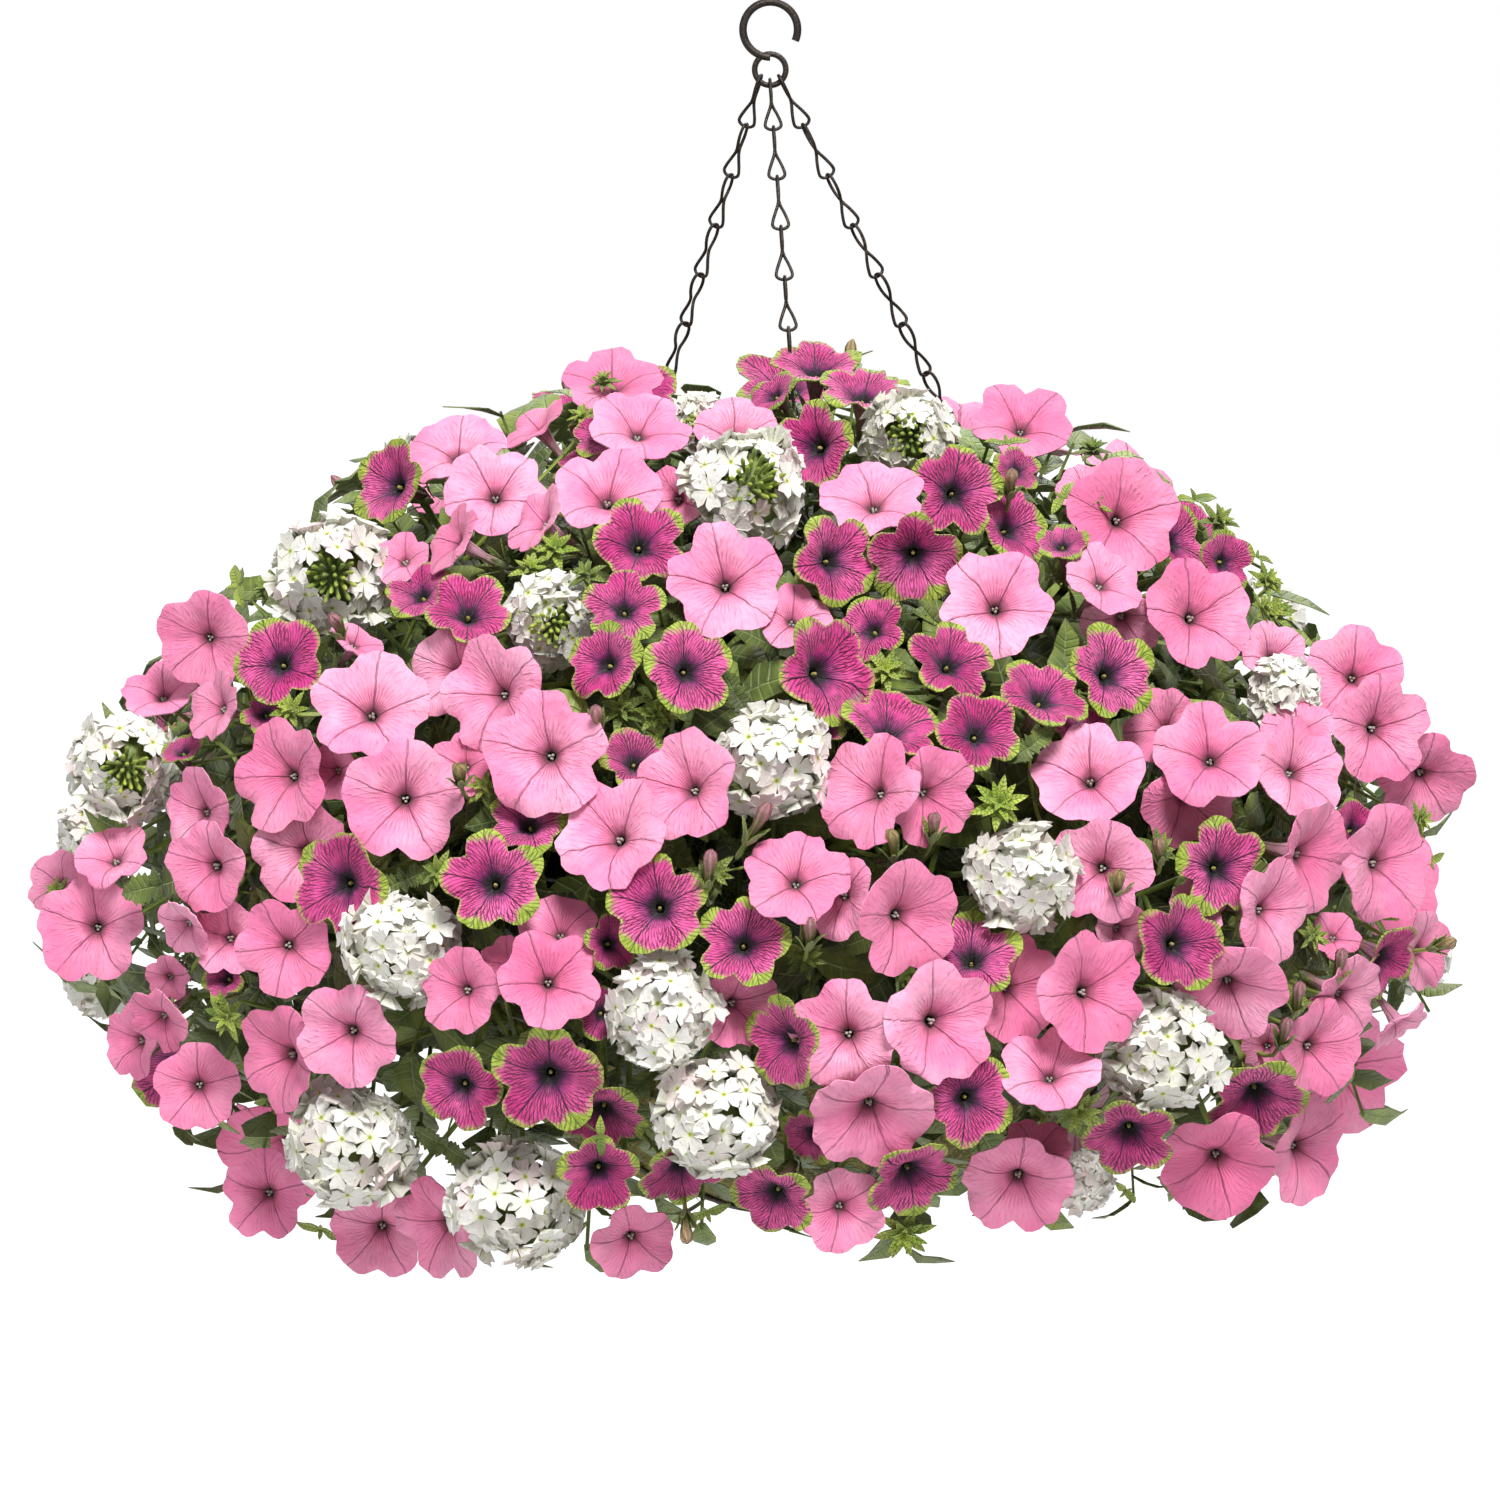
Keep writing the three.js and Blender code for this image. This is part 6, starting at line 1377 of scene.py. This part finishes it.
shade = mixed(tree, ramped(tree, tone, 0.82, 1.0, 0.0, 0.45), shade, colour("#EFC9D2"))
# Greenish grey towards the eye: partly the floret's own tint, partly painted shade in its dished middle.
shade = mixed(tree, ramped(tree, out, 0.42, 0.14, 0.0, 0.5), shade, colour("#DDE3C0"))
shade = mixed(tree, ramped(tree, out, 0.15, 0.09), shade, colour("#C3C85A"))
shade = mixed(tree, ramped(tree, out, 0.07, 0.04), shade, colour("#8A9638"))
# The underside, greenish grey towards the cone's tip: partly its own tint, partly painted shade under the
# floret.
shade = mixed(tree, worked(tree, "MULTIPLY", back, 0.8), shade, colour("#C9CDA6"))
painted(tree, shader, shade, grain, 0.5, 0.7)
shader.inputs["Specular IOR Level"].default_value = 0.25
bumped(tree, shader, worked(tree, "ADD", grain, worked(tree, "MULTIPLY", clouds, 0.6)), 0.0006)

floret_outline = []
for k in range(5):
    for degrees, share in PETAL_OUTLINE:
        floret_outline.append((math.radians(72 * k + degrees), share, k))
edge_points = len(floret_outline)
floret_faces = [[0, 1 + i, 1 + (i + 1) % edge_points] for i in range(edge_points)]
floret_faces += [[1 + edge_points, 1 + (i + 1) % edge_points, 1 + i] for i in range(edge_points)]


def add_floret(bunch, place, facing, radius, number):
    """One floret, dished in the middle, with its petals lifted or lowered a little, on a short cone."""
    first, second = square_to(facing, np.array([math.cos(number * 1.7), math.sin(number * 1.7), 0.4]))
    points, flat, back = [place - facing * FLORET["dished"] * radius], [NOWHERE], [0]
    for angle, share, k in floret_outline:
        lifted = 0.34 * (chance(number * 11 + k) - 0.62) * share**2 if share > 0.5 else -0.05
        sideways = 0.10 * (chance(number * 5 + k) - 0.5)
        x, y = share * math.cos(angle + sideways), share * math.sin(angle + sideways)
        points.append(place + radius * (first * x + second * y + facing * lifted))
        flat.append((0.5 + 0.5 * x, 0.5 + 0.5 * y))
        back.append(0)
    points.append(place - facing * FLORET["deep"] * radius)
    flat.append(NOWHERE)
    back.append(1)
    bunch.add(np.array(points), floret_faces, np.array(flat), 1.0, chance(number * 3), np.array(back))


def add_strand(bunch, route, radii, tone, sides=5):
    """A round strand along a route, closed at both ends."""
    route = np.asarray(route, float)
    tangents = np.gradient(route, axis=0)
    tangents /= np.linalg.norm(tangents, axis=1)[:, None]
    first, _ = square_to(tangents[0], np.array([0.3, 0.5, 0.8]))
    points = []
    for p, tangent, radius in zip(route, tangents, radii):
        first, second = square_to(tangent, first)
        for k in range(sides):
            points.append(p + radius * at_angle(first, second, 2 * math.pi * k / sides))
    bunch.add(np.array(points), ringed_faces(len(route), sides), NOWHERE, 0.0, tone, 0.0)


def add_heart(bunch, g):
    """The green heart of a head, and the buds in the middle of a young one."""
    first, second = square_to_growth(g)
    heart = knob_points * HEART["share"] * g["radius"]
    heart = heart - np.outer(heart @ g["facing"], g["facing"]) * HEART["flatter"] + g["centre"]
    bunch.add(heart, knob_faces, NOWHERE, 0.0, HEART["tone"], 0.0)
    for i in range(BUD_CLUSTER["count"] if g["number"] in YOUNG_HEADS else 0):
        number = g["number"] * 30 + i
        polar = BUD_CLUSTER["spread"] * math.sqrt((i + 0.5) / BUD_CLUSTER["count"]) * 1.15
        lean = at_angle(first, second, GOLDEN_TURN * i) * math.sin(polar) + g["facing"] * math.cos(polar)
        foot = g["centre"] + lean * 0.42 * g["radius"]
        tip = foot + lean * g["radius"] * (0.42 + 0.16 * chance(number * 7))
        route = [foot + (tip - foot) * share for share in BUD_CLUSTER["shares"]]
        add_strand(bunch, route, BUD_CLUSTER["radii"], 0.5 + 0.4 * chance(number))


def add_florets(bunch, g):
    """The florets that stand all over a head, but for the middle of a young one."""
    first, second = square_to_growth(g)
    radius = FLORET["radius"] * (0.85 + 0.15 * g["radius"] / 30)
    for i in range(FLORET["count"]):
        number = g["number"] * 60 + i
        polar = math.acos(1 - FLORET["past_the_side"] * (i + 0.5) / FLORET["count"])
        if g["number"] in YOUNG_HEADS and polar < BUD_CLUSTER["spread"]:
            continue
        sideways = at_angle(first, second, GOLDEN_TURN * i) * math.sin(polar)
        outward = sideways + g["facing"] * math.cos(polar)
        reach = (g["radius"] - 0.3 * radius) * (0.84 + 0.3 * chance(number))
        place = g["centre"] + reach * (sideways + g["facing"] * 0.8 * math.cos(polar))
        lean = np.array([chance(number * 3), chance(number * 5), chance(number * 7)]) - 0.5
        facing = unit(outward + FLORET["turned"] * lean)
        add_floret(bunch, place, facing, radius * (0.9 + 0.2 * chance(number * 9)), number)


for name, members in sprays.items():
    if not name.startswith("verbena"):
        continue
    grow_greenery(name, members, add_heart)
    florets = Bunch()
    for g in members:
        add_florets(florets, g)
    florets.piece(name + "_florets", white_floret, "white_florets", [name], angle=30)

# The leaves that show between the flowers. Petunia leaves are soft and oval, in rosettes at the shoots'
# tips and in pairs. The verbena's stand among them: darker, toothed and deeply wrinkled, in pairs.
# A row of a rosette's ring gives its leaves, their length and rise as shares, and where it starts.
ROSETTE_RINGS = [(6, 1.0, 0.4, 0), (6, 0.8, 0.9, 30), (5, 0.6, 2.0, 10)]
TOOTHED_PAIRS = {527, 528, 533, 535, 536, 537, 544}


def add_rosette(bunch, g):
    """A shoot tip seen from above: a ring of outer leaves and two of smaller ones inside it."""
    first, second = square_to_growth(g)
    up = g["facing"]
    base = g["centre"] - up * (0.34 * g["radius"] + 1)
    bright = 0.45 + 0.4 * chance(g["number"] * 19)
    for ring, (count, share, rise, start) in enumerate(ROSETTE_RINGS):
        for k in range(count):
            number = g["number"] * 40 + ring * 10 + k
            angle = math.radians(start + 360 * k / count + 16 * (chance(number) - 0.5))
            direction = at_angle(first, second, angle) + up * rise * (0.8 + 0.4 * chance(number * 3))
            length = g["radius"] * share * (0.85 + 0.25 * chance(number * 5)) * 1.04
            tone = bright + 0.1 * ring + 0.16 * (chance(number * 9) - 0.5)
            start_at = base + up * ring * 1.5
            add_leaf(bunch, fine_leaf, start_at, direction, up, length, 0.34, tone, number, 0.55, 0.35)


def add_pair(bunch, g):
    """Two leaves that stand opposite each other, with two small ones between."""
    first, second = square_to_growth(g)
    base = g["centre"] - g["facing"] * (0.3 * g["radius"] + 1)
    toothed = g["number"] in TOOTHED_PAIRS
    for k in range(4):
        number = g["number"] * 40 + k
        outward = (first, second, -first, -second)[k]
        large = k % 2 == 0
        direction = outward + g["facing"] * (0.3 if large else 0.8)
        length = g["radius"] * (1.03 if large else 0.45)
        tone = (0.08 if toothed else 0.55) + 0.25 * chance(number)
        grid = toothed_leaf if toothed and large else fine_leaf
        width, teeth = (0.62, 0.22) if toothed else (0.4, 0.0)
        add_leaf(bunch, grid, base, direction, g["facing"], length, width, tone, number, 0.5, 0.25, teeth)


def add_leaves(bunch, g):
    """The leaves of a growth of the leafy sprays."""
    if g["kind"] == "rosette":
        add_rosette(bunch, g)
    else:
        add_pair(bunch, g)


for name, members in sprays.items():
    if name.startswith("leafy"):
        grow_greenery(name, members, add_leaves)

# The inner foliage: leafy shoots that rise from the soil and spread under the blooms all round, those of the
# lower half bending out over the basket's rim. Their leaves carry painted shade, darkest in the inner ring
# deep in the mound, and painted light, lighter towards each shoot's tip near the surface.
SHOOTS = {"leaves": 11, "clear": 2, "soil_depth": 14, "leafy_end": 110, "bare_tip": 3}
# A ring's tone is the painted shade of its leaves, darkest for the inner ring.
SHOOT_RINGS = [
    {"count": 330, "level": 0.93, "spread": 0.06, "lowest": -0.52, "turn": 0.0, "first": 3000, "tone": 0.07},
    {"count": 180, "level": 0.78, "spread": 0.08, "lowest": -0.45, "turn": 0.7, "first": 4000, "tone": 0.0},
]
SHOOT_STALK = {"foot": 1.7, "tip": 0.9, "tone": 0.35}
SHOOT_LEAF = {"length": 28, "varies": 18, "shortens": 8, "width": 0.55, "bend": 0.6, "fold": 0.2}
OVER_RIM = {"root": 150, "outside": 222, "lift": 36, "from_rim": 60}


def curve_through(a, b, c, d, steps):
    """A curve that leaves a towards b and comes to d from c."""
    t = np.linspace(0, 1, steps)[:, None]
    return a * (1 - t) ** 3 + 3 * b * t * (1 - t) ** 2 + 3 * c * t**2 * (1 - t) + d * t**3


def shoot_route(tip, outward, number):
    """The way of a shoot from the soil to its tip, over the rim where the tip hangs low outside it."""
    bearing = math.atan2(tip[1], tip[0] - BASKET["x"])
    out = math.hypot(tip[0] - BASKET["x"], tip[1])
    soil_z = BASKET["rim_z"] - SHOOTS["soil_depth"]
    if tip[2] < BASKET["rim_z"] + OVER_RIM["from_rim"] and out > OVER_RIM["root"]:
        root = around_basket(OVER_RIM["root"], bearing, soil_z)
        over = around_basket(OVER_RIM["outside"], bearing, BASKET["rim_z"] + OVER_RIM["lift"])
        rise = curve_through(root, root + [0, 0, 30], over - 30 * (over - root) / 66, over, 5)
        fall = curve_through(over, over + (over - root) * 0.5, tip - outward * 30 + [0, 0, 30], tip, 9)
        return np.concatenate([rise, fall[1:]])
    root = around_basket(min(140, 20 + 0.35 * out), bearing + 0.5 * (chance(number) - 0.5), soil_z)
    return curve_through(root, root + [0, 0, 90], tip - outward * 90, tip, 10)


def add_shoot(bunch, number, direction, level, painted_shade_tone):
    """A shoot with leaves all round the last part of its stalk, with painted shade that lightens towards the
    tip.
    """
    tip = mound_middle + direction * level / mound_level(mound_middle + direction)
    tip = mound_middle + (tip - mound_middle) * kept_distance(tip, SHOOTS["clear"], near)
    outward = mound_facing(tip)
    route = shoot_route(tip, outward, number)
    if cuts_a_bloom(route):
        return
    radii = np.linspace(SHOOT_STALK["foot"], SHOOT_STALK["tip"], len(route))
    add_strand(bunch, route, radii, SHOOT_STALK["tone"], sides=4)
    lengths = np.linalg.norm(np.diff(route, axis=0), axis=1)
    total = lengths.sum()
    places = np.concatenate([[0], np.cumsum(lengths)])
    leafy = SHOOTS["leafy_end"] - SHOOTS["bare_tip"]
    for k in range(SHOOTS["leaves"]):
        seed = number * 20 + k
        along = total - SHOOTS["leafy_end"] + leafy * k / (SHOOTS["leaves"] - 1)
        i = max(1, min(int(np.searchsorted(places, along)), len(route) - 1))
        share = (along - places[i - 1]) / max(lengths[i - 1], 1e-6)
        base = route[i - 1] + (route[i] - route[i - 1]) * share
        tangent = unit(route[i] - route[i - 1])
        first, second = square_to(tangent, outward)
        direction = at_angle(first, second, GOLDEN_TURN * k + number) + tangent * 0.5 + outward * 0.35
        towards_tip = k / SHOOTS["leaves"]
        length = SHOOT_LEAF["length"] + SHOOT_LEAF["varies"] * chance(seed)
        length -= SHOOT_LEAF["shortens"] * towards_tip
        # Painted shade and light: the ring's dark base tone, lighter towards the tip, with a random spread.
        tone = painted_shade_tone + 0.3 * chance(seed * 3) ** 2 + 0.24 * towards_tip**2
        upper = outward + tangent * 0.3
        width, bend, fold = SHOOT_LEAF["width"], SHOOT_LEAF["bend"], SHOOT_LEAF["fold"]
        add_leaf(
            bunch, small_leaf, base, direction, upper, length, width, tone, seed, bend, fold, gives_way=True
        )


sectors = [Bunch() for _ in range(6)]
for ring in SHOOT_RINGS:
    for i in range(ring["count"]):
        number = ring["first"] + i
        direction, bearing = even_direction(i, ring["count"], ring["lowest"], ring["turn"])
        sector = int(((bearing / (2 * math.pi)) % 1) * len(sectors))
        level = ring["level"] + ring["spread"] * (chance(number * 3) - 0.5)
        add_shoot(sectors[sector], number, direction, level, ring["tone"])
for i, bunch in enumerate(sectors):
    bunch.piece(f"inner_shoots_{i + 1}", leaf_green, "leaves", angle=80)

# Petunia buds: long furled tubes, ribbed and twisted, each in a green calyx on its own stalk. Rows give
# the tip and the foot as they show; more stand on the sides and back.
BUDS = [
    (710, 851, 708, 888), (770, 804, 746, 842), (458, 764, 460, 786), (812, 916, 806, 950),
    (1160, 836, 1160, 864), (1456, 940, 1430, 948), (1300, 983, 1296, 1012), (1342, 950, 1336, 982),
    (890, 830, 893, 860), (936, 812, 930, 842), (689, 1242, 684, 1212), (596, 705, 600, 730),
    (1012, 470, 1010, 496), (1288, 1020, 1280, 1046), (330, 615, 342, 640), (1120, 870, 1116, 896),
]
BUD_PROFILE = [(0, 1.0), (0.12, 1.7), (0.4, 2.0), (0.62, 2.9), (0.78, 3.4), (0.9, 2.6), (0.97, 1.3), (1, 0.3)]
BUD = {"sides": 12, "bow": 0.06, "ribs": 5, "rib": 0.12, "above_mound": 4, "forward": 14, "number": 5000}
FAR_BUDS = {"count": 46, "lowest": -0.35, "turned": 0.3, "faces_away": 0.3, "number": 5100}
bud_skin, tree, shader, place, clouds, grain = new_finish("bud_skin", 90.0, 600.0)
parts = add_node(tree, "ShaderNodeSeparateXYZ", {0: flat_map(tree)}).outputs
twist = worked(tree, "MULTIPLY_ADD", parts[1], 5.0, worked(tree, "MULTIPLY", parts[0], 10 * math.pi))
ribs = wave(tree, twist)
tip_shade = ramped(tree, value_of(tree, "tone"), 0.3, 0.7)
tip_shade = mixed(tree, tip_shade, colour("#C58A94"), colour("#B9A46E"))
shade = mixed(tree, ramped(tree, parts[1], 0.2, 0.95), colour("#7F8A45"), tip_shade)
shade = mixed(tree, worked(tree, "MULTIPLY", ribs, 0.5), shade, colour("#6A4A3C"))
painted(tree, shader, shade, grain, 0.5, 0.7)
bumped(tree, shader, worked(tree, "MULTIPLY_ADD", ribs, -1.0, grain), 0.0008)


def add_bud(buds, greens, tip, foot, number):
    """A bud, its five sepals and its stalk, which goes in towards the middle of the basket."""
    axis = unit(tip - foot)
    length = np.linalg.norm(tip - foot)
    first, second = square_to(axis, np.array([0.4, 0.3, 0.8]))
    points, flat = [], []
    for share, radius in BUD_PROFILE:
        radius *= 0.75 + length / 110
        bow = first * BUD["bow"] * length * math.sin(2.6 * share + number)
        for k in range(BUD["sides"]):
            angle = 2 * math.pi * k / BUD["sides"]
            rib = radius * (1 + BUD["rib"] * math.cos(BUD["ribs"] * (angle + share)))
            points.append(foot + axis * share * length + bow + rib * at_angle(first, second, angle))
            flat.append((k / BUD["sides"], share))
    faces = ringed_faces(len(BUD_PROFILE), BUD["sides"])
    buds.add(np.array(points), faces, np.array(flat), 1.0, chance(number * 3), 0.0)
    bent_foot = foot + first * BUD["bow"] * length * math.sin(number)
    for k in range(5):
        seed = number * 9 + k
        outward = at_angle(first, second, 2 * math.pi * k / 5)
        sepal = axis + outward * (0.16 + 0.2 * chance(seed))
        start_at = bent_foot - axis + outward
        add_leaf(greens, plain_leaf, start_at, sepal, -outward, 9 + 0.2 * length, 0.26, 0.55, seed, 0.3, 0.1)
    inward = unit(np.array([BASKET["x"], 0, BASKET["rim_z"] + 30]) - foot)
    route = curve_through(bent_foot + axis, bent_foot - axis * 26, foot + inward * 45, foot + inward * 75, 9)
    add_strand(greens, route, np.linspace(1.1, 1.4, 9), 0.5)


buds, bud_greens = Bunch(), Bunch()
for i, (tip_across, tip_down, foot_across, foot_down) in enumerate(BUDS):
    foot_line, tip_line = sight_line(foot_across, foot_down), sight_line(tip_across, tip_down)
    reach = mound_reach(foot_line) + BUD["above_mound"]
    foot = view_point + foot_line * reach
    tip = view_point + tip_line * (reach - BUD["forward"])
    add_bud(buds, bud_greens, tip, foot, BUD["number"] + i)
for i in range(FAR_BUDS["count"]):
    number = FAR_BUDS["number"] + i
    direction, _ = even_direction(i, FAR_BUDS["count"], FAR_BUDS["lowest"], FAR_BUDS["turned"])
    if np.dot(direction, view_forward) < FAR_BUDS["faces_away"]:
        continue
    foot = mound_middle + direction * 0.98 / mound_level(mound_middle + direction)
    lean = 0.8 * (np.array([chance(number), chance(number * 3), chance(number * 5)]) - 0.5)
    tip = foot + unit(mound_facing(foot) + lean) * (20 + 14 * chance(number * 7))
    if cuts_a_bloom(np.array([foot, (foot + tip) / 2, tip])):
        continue
    add_bud(buds, bud_greens, tip, foot, number)
buds.piece("petunia_buds", bud_skin, "pink_petals", angle=70)
bud_greens.piece("bud_stalks", leaf_green, "leaves", angle=80)

# The box of the finished model.
low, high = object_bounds()
